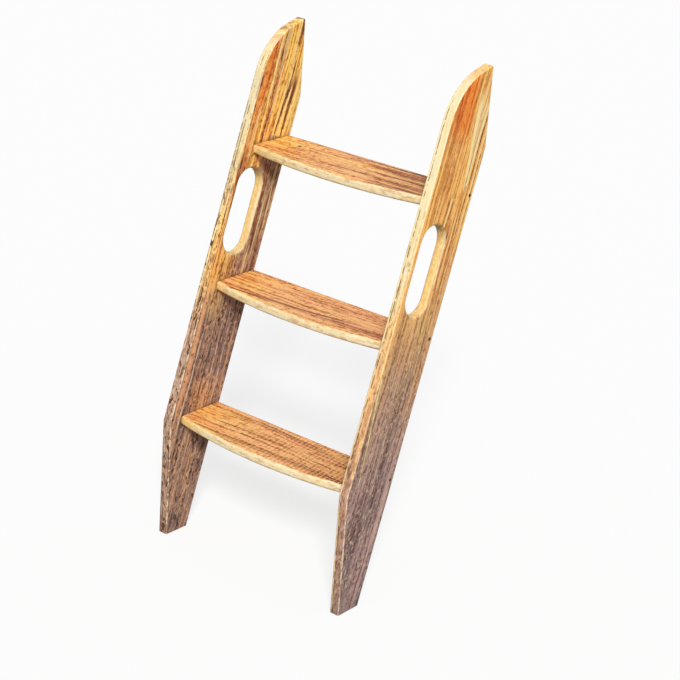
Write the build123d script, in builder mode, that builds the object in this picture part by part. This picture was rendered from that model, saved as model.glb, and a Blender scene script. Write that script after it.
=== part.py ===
from build123d import *
import os
from math import cos, radians, sqrt, tan

# Rigid wooden cabin ladder: two leaning plank stiles and three bowed treads.
# The treads are housed in the stiles, screwed from outside, and the screw heads are plugged.
# X runs across the ladder, Y towards the wall it leans on, Z up. Lengths are in millimetres.
# The origin is on the floor, in the middle of the ladder's footprint.

# Stiles
lean_angle = 18.0  # degrees back from the vertical
stile_width = 126.0  # across the plank, square to its long edges
stile_thickness = 20.0
clear_width = 406.0  # between the stiles' inner faces
foot_length = 56.0  # flat of the foot on the floor
bearing_rise = 72.0  # from the top tread up to the start of the vertical wall face
bearing_height = 148.0  # vertical wall face, up to the tip
crown_slope = 16.0  # degrees that the crown rises towards the tip
crown_radius = 120.0  # where the front edge turns into the crown
tip_radius = 3.0
foot_corner_radius = 3.0
kink_radius = 15.0  # where the long edges turn vertical
edge_radius = 2.5  # eased arrises

# Treads
tread_names = ("bottom", "middle", "top")
first_tread_height = 240.0  # floor to the bottom tread's top face
tread_pitch = 250.0
tread_thickness = 18.0
nose_setback = 28.0  # level distance from the stile's front edge to the tread's front edge at the stile
nose_bow = 24.0  # how far the front edge bows out at mid span
nose_radius = 6.0
tread_back_radius = 2.5

# Hand slots
front_rail = 14.0  # wood left in front of a slot
back_rail = 46.5  # wood left behind it
slot_web = 46.0  # height left between each end of a slot and the tread top next to it
slot_edge_radius = 6.0  # rounded for the hand

# Housings
housing_depth = 6.0
housing_clearance = 0.2  # above, in front of and at the end of a tread; its underside rests on the housing

# Screws and plugs
screw_diameter = 3.5
screw_length = 50.0  # under the head
screw_tip_length = 5.0
screw_inset = 9.0  # level distance from a tread's back edge to the back screw's axis
screw_spacing = 45.0  # level distance from there to the front screw's axis
head_diameter = 6.4
head_height = 2.6
head_round = 1.0
recess_length = 3.8
recess_width = 1.0
recess_depth = 1.3
screw_clearance = 0.1  # round the shank
plug_diameter = 7.0
plug_length = 5.0
plug_chamfer = 0.5
plug_clearance = 0.05  # glue line round a plug

# Heights
tread_tops = [first_tread_height + step * tread_pitch for step in range(len(tread_names))]
bearing_foot = tread_tops[-1] + bearing_rise
tip_height = bearing_foot + bearing_height

# The stile's place in side view
tan_lean = tan(radians(lean_angle))
cos_lean = cos(radians(lean_angle))
stile_run = stile_width / cos_lean  # level width of the plank
overall_depth = foot_length + bearing_foot * tan_lean
toe_y = -overall_depth / 2
wall_y = overall_depth / 2
inner_x = clear_width / 2
outer_x = inner_x + stile_thickness
sides = {"left": -1, "right": 1}


def back_edge(z):
    """Level place of the stile's back edge at height z."""
    return toe_y + foot_length + z * tan_lean


def front_edge(z):
    """Level place of the stile's front edge at height z."""
    return back_edge(z) - stile_run


# Crown: the front edge meets a line that rises at crown_slope to the tip.
tan_crown = tan(radians(crown_slope))
crown_corner_z = (tip_height - (wall_y - front_edge(0)) * tan_crown) / (1 - tan_lean * tan_crown)
crown_corner_y = front_edge(crown_corner_z)
crown_turn = radians(90 - lean_angle - crown_slope)
crown_run = (wall_y - crown_corner_y) / cos(radians(crown_slope))
crown_room = 0.9 * crown_run / tan(crown_turn / 2)
toe_kink_z = (toe_y - front_edge(0)) / tan_lean

# Slot: a round-ended opening along the plank, midway between the two upper treads.
slot_width = stile_width - front_rail - back_rail
slot_centre_z = (tread_tops[-1] + tread_tops[-2]) / 2
slot_centre_y = front_edge(slot_centre_z) + (front_rail + slot_width / 2) / cos_lean
slot_arc_distance = (tread_pitch - 2 * slot_web - slot_width) / cos_lean
slot_edge_room = min(0.45 * stile_thickness, 0.9 * (front_rail - edge_radius))

# Treads: the bow is an arc through the two stile faces, and runs on into the housings.
tread_half_length = inner_x + housing_depth - housing_clearance
bow_radius = (inner_x**2 + nose_bow**2) / (2 * nose_bow)
bow_end_drop = bow_radius - sqrt(bow_radius**2 - tread_half_length**2)

# Screws: the head stands on the floor of the plug's counterbore.
counterbore_depth = plug_length + head_height
head_seat_x = outer_x - counterbore_depth
pilot_radius = screw_diameter / 2 + screw_clearance
pilot_depth = screw_length - (head_seat_x - tread_half_length) + screw_clearance


def nose_at_stile(top_z):
    """Level place of a tread's front edge where it meets the stile."""
    return front_edge(top_z) + nose_setback


def screw_places(top_z):
    """The axes of the front and back screws of one tread end, as (level place, height)."""
    mid_z = top_z - tread_thickness / 2
    back = back_edge(mid_z) - screw_inset
    front = back - screw_spacing
    return {"front": (front, mid_z), "back": (back, mid_z)}


def make_stile(side):
    """One plank: outline and slot, eased arrises, housings inside and counterbores outside."""
    with BuildPart() as stile:
        with BuildSketch(Plane.YZ.offset(side * inner_x)):
            with BuildLine():
                FilletPolyline(
                    (toe_y, 0),
                    (back_edge(0), 0),
                    (wall_y, bearing_foot),
                    (wall_y, tip_height),
                    (crown_corner_y, crown_corner_z),
                    (toe_y, toe_kink_z),
                    radius=[
                        foot_corner_radius,
                        foot_corner_radius,
                        kink_radius,
                        tip_radius,
                        min(crown_radius, crown_room),
                        kink_radius,
                    ],
                    close=True,
                )
            make_face()
            with Locations((slot_centre_y, slot_centre_z)):
                SlotCenterToCenter(
                    slot_arc_distance, slot_width, rotation=90 - lean_angle, mode=Mode.SUBTRACT
                )
        extrude(amount=side * stile_thickness)
        for plank_face in stile.faces().filter_by(Axis.X):
            fillet(plank_face.outer_wire().edges(), edge_radius)
        for plank_face in stile.faces().filter_by(Axis.X):
            fillet(plank_face.inner_wires()[0].edges(), min(slot_edge_radius, slot_edge_room))
        with BuildSketch(Plane.YZ.offset(side * inner_x)):
            for top_z in tread_tops:
                open_end = back_edge(top_z) + stile_thickness
                mouth = nose_at_stile(top_z) - housing_clearance
                with BuildLine():
                    FilletPolyline(
                        (open_end, top_z - tread_thickness),
                        (mouth, top_z - tread_thickness),
                        (mouth, top_z + housing_clearance),
                        (open_end, top_z + housing_clearance),
                        radius=[0, nose_radius, nose_radius, 0],
                        close=True,
                    )
                make_face()
        extrude(amount=side * housing_depth, mode=Mode.SUBTRACT)
        for top_z in tread_tops:
            for y, z in screw_places(top_z).values():
                with Locations(Plane(origin=(side * outer_x, y, z), z_dir=(side, 0, 0))):
                    CounterBoreHole(
                        pilot_radius, plug_diameter / 2, counterbore_depth, depth=stile_thickness
                    )
    return stile.part


def make_tread(top_z):
    """One tread: level plank, back edge planed to the stiles' lean, bowed and rounded nose."""
    bottom_z = top_z - tread_thickness
    nose_y = nose_at_stile(top_z) - nose_bow
    with BuildPart() as tread:
        with BuildSketch(Plane.YZ):
            with BuildLine():
                Polyline(
                    (nose_y, bottom_z),
                    (back_edge(bottom_z), bottom_z),
                    (back_edge(top_z), top_z),
                    (nose_y, top_z),
                    close=True,
                )
            make_face()
        extrude(amount=tread_half_length, both=True)
        with BuildSketch(Plane.XY.offset(bottom_z)):
            with BuildLine():
                nose = ThreePointArc(
                    (-tread_half_length, nose_y + bow_end_drop),
                    (0, nose_y),
                    (tread_half_length, nose_y + bow_end_drop),
                )
                Polyline(
                    nose @ 1,
                    (tread_half_length, back_edge(top_z)),
                    (-tread_half_length, back_edge(top_z)),
                    nose @ 0,
                )
            make_face()
        extrude(amount=tread_thickness, mode=Mode.INTERSECT)
        fillet(tread.edges().filter_by(Axis.X), tread_back_radius)
        fillet(tread.faces().filter_by(Axis.Z).edges().filter_by(GeomType.CIRCLE), nose_radius)
        for side in sides.values():
            for y, z in screw_places(top_z).values():
                with Locations(Plane(origin=(side * tread_half_length, y, z), z_dir=(side, 0, 0))):
                    Hole(pilot_radius, pilot_depth)
    return tread.part


def make_screw(side, y, z):
    """One screw, turned about its axis: round head with a cross recess, shank and pointed end."""
    seat = Plane(origin=(side * head_seat_x, y, z), x_dir=(-side, 0, 0), z_dir=(0, 0, 1))
    head_top = Plane(origin=(side * (head_seat_x + head_height), y, z), z_dir=(side, 0, 0))
    with BuildPart() as screw:
        with BuildSketch(seat):
            with BuildLine():
                FilletPolyline(
                    (-head_height, 0),
                    (-head_height, head_diameter / 2),
                    (0, head_diameter / 2),
                    (0, screw_diameter / 2),
                    (screw_length - screw_tip_length, screw_diameter / 2),
                    (screw_length, 0),
                    radius=[0, head_round, 0, 0, 0, 0],
                    close=True,
                )
            make_face()
        revolve(axis=Axis(seat.origin, seat.x_dir))
        with BuildSketch(head_top):
            Rectangle(recess_length, recess_width)
            Rectangle(recess_width, recess_length)
        extrude(amount=-recess_depth, mode=Mode.SUBTRACT)
    return screw.part


def make_plug(side, y, z):
    """One plug, flush with the stile's outer face, its inner end eased to start in the counterbore."""
    with BuildPart() as plug:
        with BuildSketch(Plane(origin=(side * outer_x, y, z), z_dir=(side, 0, 0))):
            Circle(plug_diameter / 2 - plug_clearance)
        extrude(amount=-plug_length)
        inner_end = plug.faces().filter_by(Axis.X).sort_by(Axis.X)[0 if side > 0 else -1]
        chamfer(inner_end.edges(), plug_chamfer)
    return plug.part


def write_piece(piece, name):
    """Labels a finished piece and writes it under its name."""
    piece.label = name
    export_step(piece, f"parts/{name}.step")


os.makedirs("parts", exist_ok=True)
for side_name, side in sides.items():
    write_piece(make_stile(side), f"stile_{side_name}")
for tread_name, top_z in zip(tread_names, tread_tops):
    write_piece(make_tread(top_z), f"tread_{tread_name}")
    for side_name, side in sides.items():
        for place, (y, z) in screw_places(top_z).items():
            write_piece(make_screw(side, y, z), f"screw_{side_name}_{tread_name}_{place}")
            write_piece(make_plug(side, y, z), f"plug_{side_name}_{tread_name}_{place}")
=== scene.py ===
from math import ceil, cos, hypot, pi, radians, sin, tan
from typing import NamedTuple

import bmesh
import bpy
import numpy as np
from bpy.props import FloatProperty, FloatVectorProperty, PointerProperty
from mathutils import Matrix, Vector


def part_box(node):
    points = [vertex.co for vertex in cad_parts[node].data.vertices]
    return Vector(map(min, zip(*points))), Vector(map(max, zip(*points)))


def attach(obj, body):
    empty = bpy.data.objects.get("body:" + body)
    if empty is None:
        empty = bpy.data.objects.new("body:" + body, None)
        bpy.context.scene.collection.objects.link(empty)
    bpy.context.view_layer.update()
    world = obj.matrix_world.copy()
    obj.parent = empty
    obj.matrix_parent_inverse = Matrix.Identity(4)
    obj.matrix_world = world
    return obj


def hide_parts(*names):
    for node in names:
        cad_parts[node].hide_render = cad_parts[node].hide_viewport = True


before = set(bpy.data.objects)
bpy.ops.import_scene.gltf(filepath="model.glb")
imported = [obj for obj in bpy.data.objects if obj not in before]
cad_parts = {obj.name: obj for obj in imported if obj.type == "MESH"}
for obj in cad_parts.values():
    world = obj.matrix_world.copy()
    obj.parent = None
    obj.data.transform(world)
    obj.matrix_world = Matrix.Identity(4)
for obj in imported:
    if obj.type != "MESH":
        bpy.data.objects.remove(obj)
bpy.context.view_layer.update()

bl_info = {
    "name": "Plank ladder",
    "version": (1, 0, 0),
    "blender": (4, 5, 0),
    "location": "3D View > Sidebar > Ladder",
    "description": "Dresses a leaning plank ladder in worn, grained wood and sets it on a pale floor",
    "category": "Mesh",
}

# Lengths are in metres. X runs across the ladder, Y towards the wall it leans on, Z up.
SIDES = {"left": -1, "right": 1}
TREADS = ("bottom", "middle", "top")
PLACES = ("front", "back")
STILE_LOW, STILE_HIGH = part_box("stile_right")
TREAD_BOXES = {tread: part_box(f"tread_{tread}") for tread in TREADS}
TREAD_TOPS = [TREAD_BOXES[tread][1].z for tread in TREADS]
TREAD_THICKNESS = TREAD_BOXES["top"][1].z - TREAD_BOXES["top"][0].z
TREAD_HALF_LENGTH = TREAD_BOXES["top"][1].x

# Mesh spacing
ROW_STEP = 0.006
ROW_GAP = 0.00015
ALONG_STEP = 0.005
ACROSS_STEP = 0.0013
CROWN_STEP = 0.004
ARC_STEPS = 6
SLOT_ARC_STEPS = 24
RIM_FLATS = (0.425, 0.55)  # points across the flat of a rim, as shares of the thickness
SLOT_FLATS = 3  # points across the flat of a slot's wall
DRAWN_IN = (0, 0.3, 0.7)  # sizes of a tread's section inside its ends
BACK_HELD = 4  # how far a tread's back edge keeps its shape, in back radii
COLUMNS = {"front_rail": 18, "mid_rail": 18, "back_rail": 56}
MERGE_DISTANCE = 2e-7
STEP_SLACK = 1e-6
LEAST_DROP = 1e-7
SHARP_ANGLE = radians(38)

# Plugs
PLUG_STEPS = 32
PLUG_CROWN = (0, 0.35, 0.7)  # points across the domed end, as shares of the radius
PLUG_DOME = 0.00006
PLUG_EASE = 0.00025
PLUG_CHAMFER = 0.0005

# Wear: waves as their length along a plank, their length across it and their share
DRIFT_WAVES = ((0.83, 0.55, 1.0), (0.31, 0.21, 0.45), (0.117, 0.083, 0.20))
NICK_WAVES = ((0.041, np.inf, 0.33), (0.0293, np.inf, 0.33), (0.173, 0.09, 0.33))
STILE_DRIFT = 0.0025
TREAD_DRIFT = 0.004
RING_TILT = 0.3  # how far the rings lean through a plank
RIDGE_BENDS = ((3.7, 1.5), (7.9, 1.1))  # lengths in ridge spacings, and turns in radians
RIDGE_SWELL = 0.4
RIDGE_SWELL_LENGTHS = (37, 6)  # along and across, in ridge spacings
HOLLOW_REACH = (0.11, 0.045)
TREAD_MIDDLE = 0.04  # behind the nose at the stile
# Dirt and painted shade next to the treads; the reach also sets the darker band along a tread's back edge
GRIME_AND_SHADE_REACH = 0.004
GRIME_AND_SHADE_ABOVE = 0.5  # dirt and painted shade above a tread, as a share of those below it
GRIME_AND_SHADE_INSIDE = 0.001  # how far the dirt and painted shade reach past a housing's border
GRIME_AND_SHADE_DEPTH = 0.0005  # how far it reaches below the inner face
# Painted shade, with some dirt, on the upper back of each slot, where its wall faces down
SLOT_SHADE_AND_GRIME = 0.9
SLOT_SHADE_TOWARDS = (0.6, 0.8)
SLOT_SHADE_POWER = 4
SLOT_WALL_UNRUBBED = 0.45
GRIPPED_ALL_ROUND = 0.55
GRIPPED_TOWARDS = (-0.5, 0.45)
HANDLED_ALL_ROUND = 0.1
HANDLED_IN_FRONT = 1.1

# Where random draws and noise begin
STILE_SEED = 1
TREAD_SEED = 5
RIDGE_SEED = 100
NICK_SEED = 200
SEED_SHIFT = 3.7


class Pattern(NamedTuple):
    """Noise in a plank: the size of its lumps along, across and through the plank, and its limits.

    The shift moves it, so that no two patterns match.
    """

    sizes: tuple
    detail: float
    low: float
    high: float
    shift: float = 0.0


PATTERNS = {
    "Band": Pattern((0.45, 0.016, 0.030), 3, 0.43, 0.57),
    "Stripe": Pattern((0.16, 0.0056, 0.0050), 2, 0.41, 0.54, shift=4.3),
    "Line": Pattern((0.20, 0.0120, 0.015), 2, 0.585, 0.620, shift=8.6),
    "Pale": Pattern((0.22, 0.0110, 0.015), 2, 0.600, 0.635, shift=12.9),
    "Dash": Pattern((0.016, 0.0070, 0.010), 2, 0.46, 0.54, shift=17.2),
    "Fleck": Pattern((0.0095, 0.0050, 0.0050), 2, 0.53, 0.65, shift=21.5),
    "Spark": Pattern((0.0095, 0.0050, 0.0050), 2, 0.56, 0.66, shift=25.8),
    "Bead": Pattern((0.0080, 0.0056, 0.0056), 2, 0.40, 0.56, shift=30.1),
    "Patch": Pattern((0.20, 0.030, 0.030), 3, 0.0, 1.0, shift=34.4),
    "Rub": Pattern((0.10, 0.0060, 0.0040), 3, 0.0, 1.0, shift=38.7),
    "Scar": Pattern((0.018, 0.0120, 0.0056), 2, 0.555, 0.62, shift=43.0),
}
STREAK_BORDER = Pattern((0.03, 0.004, 0.006), 3, 0.0, 1.0, shift=51)
STREAK_GAPS = Pattern((0.016, 0.0070, 0.010), 2, 0.54, 0.42, shift=57)
PLUG_PORES = Pattern((0.002, 0.0006, 0.0006), 2, 0.5, 0.65, shift=3)
PLUG_RINGS = Pattern((0.01, 0.004, 0.0011), 2, 0.4, 0.6, shift=7)
STEEL_TARNISH = Pattern((0.004, 0.003, 0.003), 3, 0.45, 0.7)
STEEL_MARKS = Pattern((0.0004, 0.004, 0.004), 2, 0.2, 0.8, shift=5)
NOISE_ROUGHNESS = 0.55


class Streak(NamedTuple):
    """A streak of one tint in a plank. It begins as a point at its start, widens, and fades at its end.

    The place is where it lies across the plank at its start, and the width is half of its widest.
    Inside is the share of it that the outer face lacks.
    """

    tint: str
    place: float
    width: float
    start: float
    end: float
    slope: float = 0.0
    strength: float = 0.85
    soft: float = 0.4
    breaks: float = 0.3
    taper: float = 0.5
    inside: float = 0.0


ZONES = {
    "left": (
        Streak("ember", -0.050, 0.019, 0.60, 1.15, soft=0.5, strength=0.90),
        Streak("russet", -0.052, 0.012, 0.440, 0.740, soft=0.6, strength=0.45, breaks=0.5),
        Streak("russet", -0.050, 0.019, 0.60, 1.15, soft=0.5, strength=0.28, breaks=0.6),
        Streak("golden", 0.003, 0.024, 0.64, 1.15, soft=0.5, strength=0.9),
        Streak("straw", 0.052, 0.022, 0.62, 1.10, soft=0.5, strength=0.9),
        Streak("russet", -0.011, 0.0085, 0.735, 1.08, slope=-0.067, strength=0.75, soft=0.6, breaks=0.5),
        # Painted shadow of the top tread on the inner face, with darker wood
        Streak("umber", 0.030, 0.048, 0.738, 0.20, strength=0.95, soft=0.5, taper=0.05, inside=1.0),
        Streak("orange", 0.000, 0.060, 0.190, 0.270, strength=0.42, soft=0.6, breaks=0.5),
        Streak("tan", -0.060, 0.012, 0.190, 0.480, strength=0.75, soft=0.6),
        Streak("tan", 0.020, 0.024, 0.000, 0.140, strength=0.30, soft=0.9),
        # Painted shade below the middle and bottom treads and along the back edge, with darker wood
        Streak("slate", 0.064, 0.010, 0.430, 0.200, strength=0.85, soft=0.8),
        Streak("slate", 0.046, 0.026, 0.478, 0.240, strength=0.55, soft=0.9, taper=0.1),
        Streak("slate", 0.040, 0.026, 0.225, 0.060, strength=0.45, soft=0.9, taper=0.1),
        Streak("slate", 0.064, 0.010, 0.160, -0.150, strength=0.85, soft=0.8),
    ),
    "right": (
        Streak("ember", -0.030, 0.048, 1.000, 0.800, soft=0.6, strength=1.0, breaks=0, taper=0.25),
        Streak("cream", 0.0365, 0.0170, 0.736, 0.928, slope=-0.066, soft=0.3, strength=0.95, breaks=0),
        Streak("tan", 0.0330, 0.0075, 0.775, 0.960, slope=-0.064, breaks=0),
        Streak("golden", 0.024, 0.016, 0.830, 1.120, soft=0.7, strength=0.45),
        Streak("orange", -0.060, 0.013, 0.200, 0.680, soft=0.7, strength=0.8),
        Streak("slate", 0.018, 0.013, 0.420, 0.060, soft=0.9, strength=0.65),
        Streak("slate", 0.002, 0.024, 0.420, -0.200, soft=0.9, strength=0.40),
        Streak("bloom", -0.026, 0.014, 0.400, 0.060, soft=0.9, strength=0.45),
        Streak("bloom", 0.036, 0.011, 0.400, -0.200, soft=0.8, strength=0.45),
        Streak("russet", -0.050, 0.011, 0.200, -0.100, soft=0.8, strength=0.50),
        Streak("slate", 0.064, 0.007, 0.300, -0.200, soft=0.8, strength=0.7),
        Streak("russet", 0.045, 0.016, 0.180, -0.100, soft=0.9, strength=0.35),
    ),
    "bottom": (
        Streak("orange", 0.020, 0.055, -0.120, -0.330, soft=0.7, strength=0.7),
        Streak("russet", -0.0440, 0.0150, -0.190, 0.330, strength=0.65, soft=0.7),
        Streak("russet", 0.0400, 0.0140, -0.200, 0.300, strength=0.45, soft=0.8, breaks=0.4),
    ),
    "middle": (
        Streak("orange", 0.024, 0.050, -0.120, -0.330, soft=0.6, strength=0.9),
        Streak("russet", -0.0330, 0.0130, -0.190, 0.330, strength=0.50, soft=0.8),
        Streak("russet", -0.0260, 0.0160, 0.110, 0.300, strength=0.50, soft=0.8),
    ),
    "top": (
        Streak("golden", 0.020, 0.055, -0.120, -0.330, soft=0.6, strength=0.9),
        Streak("orange", -0.0150, 0.0170, -0.205, -0.070, strength=0.85, soft=0.6),
        Streak("golden", 0.0180, 0.0200, -0.090, 0.100, strength=0.45, soft=0.9),
        Streak("russet", 0.0300, 0.0400, 0.010, 0.340, strength=0.75, soft=0.7),
    ),
}
STREAKS = {
    "left": (
        Streak("cream", -0.021, 0.0036, 0.680, 1.000, slope=-0.064),
        Streak("dark", -0.0165, 0.0032, 0.730, 0.960, slope=-0.064, breaks=0.9),
        Streak("cream", 0.0150, 0.0022, 0.800, 1.030, slope=-0.060),
        Streak("dark", 0.0150, 0.0051, 0.905, 0.990, slope=-0.060, strength=0.95),
        Streak("dark", 0.0165, 0.0030, 0.830, 0.885, strength=0.95),
        Streak("dark", 0.0115, 0.0054, 0.738, 0.860, slope=0.075, strength=0.95),
        Streak("cream", 0.0210, 0.0026, 0.735, 0.850, slope=0.030),
        Streak("dark", 0.0300, 0.0074, 0.735, 0.870, strength=0.95, soft=0.6),
        Streak("cream", 0.0400, 0.0024, 0.730, 0.900, strength=0.7),
        Streak("dark", 0.0345, 0.0024, 0.860, 0.960, breaks=0.9),
        Streak("dark", -0.0600, 0.0035, 0.700, 0.880, breaks=0.6),
        Streak("cream", -0.0545, 0.0030, 0.500, 0.800, strength=0.6, breaks=0.5),
        Streak("russet", -0.0540, 0.0080, 0.480, 0.760, strength=0.65, soft=0.6, breaks=0.5),
        Streak("dark", -0.0520, 0.0040, 0.470, 0.640, strength=0.95, breaks=0.5),
        Streak("dark", -0.0570, 0.0034, 0.560, 0.720, strength=0.95, breaks=0.6),
        Streak("dark", 0.0300, 0.0050, 0.505, 0.590, strength=0.95, breaks=0.4),
        Streak("dark", 0.0150, 0.0030, 0.480, 0.560, strength=0.8, breaks=0.6),
        Streak("dark", 0.0270, 0.0043, 0.530, 0.690, breaks=0.8),
        Streak("cream", 0.0360, 0.0028, 0.490, 0.640, strength=0.7, breaks=0.4),
        Streak("dark", 0.0460, 0.0038, 0.500, 0.660, breaks=0.8),
        Streak("cream", 0.0510, 0.0024, 0.530, 0.640, strength=0.7, breaks=0.4),
        Streak("bleached", -0.0430, 0.0032, 0.430, 0.060, slope=0.008, strength=0.9, breaks=0.6),
        Streak("slate", -0.0370, 0.0041, 0.330, 0.120, breaks=0.8),
        Streak("slate", -0.0490, 0.0027, 0.420, 0.100, breaks=0.9),
        Streak("bleached", 0.0080, 0.0028, 0.430, 0.180, strength=0.7, breaks=0.8),
        Streak("bleached", 0.0300, 0.0026, 0.360, 0.200, strength=0.8, breaks=0.7),
        Streak("slate", -0.0120, 0.0034, 0.450, 0.120, strength=0.7, breaks=0.9),
        Streak("slate", 0.0200, 0.0034, 0.400, 0.160, strength=0.7, breaks=0.9),
        Streak("slate", 0.0100, 0.0034, 0.190, -0.120, strength=0.7, breaks=0.9),
        Streak("bleached", 0.0240, 0.0028, 0.180, -0.100, strength=0.6, breaks=0.8),
    ),
    "right": (
        Streak("cream", 0.0345, 0.0070, 0.738, 0.930, slope=-0.120, soft=0.3, strength=0.95, breaks=0),
        Streak("cream", 0.0390, 0.0044, 0.738, 0.920, slope=0.010, soft=0.3, strength=0.95, breaks=0),
        Streak("dark", 0.0470, 0.0026, 0.640, 0.920, breaks=0.6, strength=0.95),
        Streak("cream", 0.0550, 0.0036, 0.600, 0.900, strength=0.7),
        Streak("dark", 0.0600, 0.0018, 0.640, 0.860, breaks=0.8),
        Streak("dark", -0.0010, 0.0024, 0.664, 0.730, slope=0.060),
        Streak("cream", 0.0045, 0.0026, 0.662, 0.735, slope=0.060, strength=0.95),
        Streak("dark", 0.0100, 0.0020, 0.660, 0.730, slope=0.060, strength=0.7),
        Streak("cream", 0.0345, 0.0026, 0.560, 0.720, strength=0.8, breaks=0.2),
        Streak("russet", -0.0500, 0.0020, 0.640, 0.900, strength=0.7, breaks=0.4),
        Streak("russet", -0.0370, 0.0018, 0.660, 0.920, strength=0.6, breaks=0.5),
        Streak("russet", -0.0240, 0.0020, 0.650, 0.900, strength=0.7, breaks=0.4),
        Streak("russet", -0.0110, 0.0018, 0.670, 0.880, strength=0.6, breaks=0.5),
        Streak("russet", 0.0090, 0.0020, 0.690, 0.860, strength=0.7, breaks=0.5),
        Streak("dark", 0.0220, 0.0034, 0.540, 0.690, breaks=0.6),
        Streak("dark", 0.0450, 0.0026, 0.490, 0.640, breaks=0.7),
        Streak("cream", 0.0340, 0.0022, 0.400, 0.560, strength=0.6, breaks=0.4),
        Streak("cream", -0.0350, 0.0030, 0.185, 0.450, slope=-0.100, strength=0.8, breaks=0.5),
        Streak("slate", -0.0420, 0.0026, 0.170, 0.400, slope=-0.095, strength=0.8, breaks=0.7),
        Streak("bloom", 0.0500, 0.0060, 0.330, -0.180, strength=0.9, breaks=0.4),
        Streak("bleached", 0.0545, 0.0034, 0.300, 0.060, strength=0.8, breaks=0.4),
        Streak("slate", 0.0280, 0.0030, 0.330, -0.060, strength=0.7, breaks=0.7),
        Streak("slate", 0.0440, 0.0026, 0.200, -0.160, strength=0.7, breaks=0.6),
        Streak("bloom", -0.0200, 0.0030, 0.420, 0.060, strength=0.6, breaks=0.8),
        Streak("bleached", 0.0050, 0.0026, 0.500, 0.100, strength=0.6, breaks=0.8),
        Streak("slate", -0.0270, 0.0028, 0.480, 0.020, strength=0.6, breaks=0.9),
        Streak("slate", -0.0040, 0.0028, 0.460, -0.060, strength=0.6, breaks=0.9),
        Streak("slate", 0.0400, 0.0026, 0.240, 0.120, breaks=0.7),
        Streak("bloom", 0.0330, 0.0028, 0.420, 0.140, strength=0.6, breaks=0.5),
    ),
    "bottom": (
        Streak("dark", -0.0020, 0.0036, -0.180, 0.050, breaks=0.8),
        Streak("dark", -0.0175, 0.0034, -0.190, 0.010, breaks=0.9),
        Streak("dark", 0.0440, 0.0036, -0.090, 0.090, breaks=0.6),
        Streak("dark", 0.0150, 0.0036, 0.050, 0.180, breaks=0.8),
        Streak("dark", -0.0060, 0.0034, 0.060, 0.170, breaks=0.8),
        Streak("dark", -0.0345, 0.0039, 0.040, 0.300, strength=0.95),
        Streak("straw", 0.0055, 0.0032, -0.150, 0.260, strength=0.6, breaks=0.4),
        Streak("straw", -0.0110, 0.0030, -0.130, 0.260, strength=0.55, breaks=0.4),
    ),
    "middle": (
        Streak("dark", -0.0410, 0.0039, -0.185, -0.060, slope=0.020, strength=0.95),
        Streak("dark", -0.0375, 0.0042, -0.130, 0.130, slope=0.090, strength=0.9, breaks=0.2),
        Streak("dark", -0.0290, 0.0039, 0.020, 0.300, strength=0.85, breaks=0.5),
        Streak("russet", -0.0190, 0.0030, -0.130, 0.020, breaks=0.4),
        Streak("straw", 0.0070, 0.0028, 0.020, 0.260, strength=0.7, breaks=0.2),
        Streak("russet", -0.0010, 0.0030, 0.060, 0.300, breaks=0.4),
        Streak("russet", 0.0220, 0.0024, -0.050, 0.220, strength=0.7, breaks=0.7),
    ),
    "top": (
        Streak("dark", 0.0265, 0.0053, 0.030, 0.250, strength=0.95, breaks=0.3),
        Streak("straw", 0.0145, 0.0036, 0.000, 0.240, strength=0.8),
        Streak("dark", 0.0035, 0.0062, 0.030, 0.250, strength=0.95, breaks=0.2),
        Streak("straw", -0.0115, 0.0042, -0.080, 0.250, strength=0.8),
        Streak("dark", -0.0225, 0.0048, -0.060, 0.180, strength=0.9, breaks=0.6),
        Streak("straw", -0.0355, 0.0036, -0.040, 0.260, strength=0.8),
        Streak("dark", -0.0455, 0.0045, 0.060, 0.240, strength=0.9, breaks=0.4),
        Streak("slate", 0.0520, 0.0050, -0.130, 0.330, strength=0.95, breaks=0.3),
    ),
}

# How streaks are drawn
STREAK_RAG = 0.0015  # how far a streak's border strays
STREAK_FADES = (1.0, 0.7)
OUTER_HALF = (-0.004, 0.004)
LEAST_WIDTH = 1e-5
DARK_BORDER = 0.5  # powers of a dark streak's mask, for its russet border and for its core
DARK_CORE = 2.0


class StileFinish(NamedTuple):
    """What sets one stile's wood apart.

    The two strengths of a mark and of the cut edge are for high up and for low down. Heartwood is the
    share of orange between the bands and on them. Brown_below and bare_tip are steps by height; below
    the first the plank turns darker and browner, to the tint named as weathered. The far strip has a
    tint and a strength, and the edge lines lie at depths from the middle of the edge.
    """

    heartwood: tuple
    brown_below: tuple
    weathered: str
    pale_below: str
    cut_below: str
    marks: dict
    cut_edge: tuple
    rubbed: float
    bare_tip: tuple
    far_strip: tuple
    near_strip: float
    edge_lines: tuple
    scars: float


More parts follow.
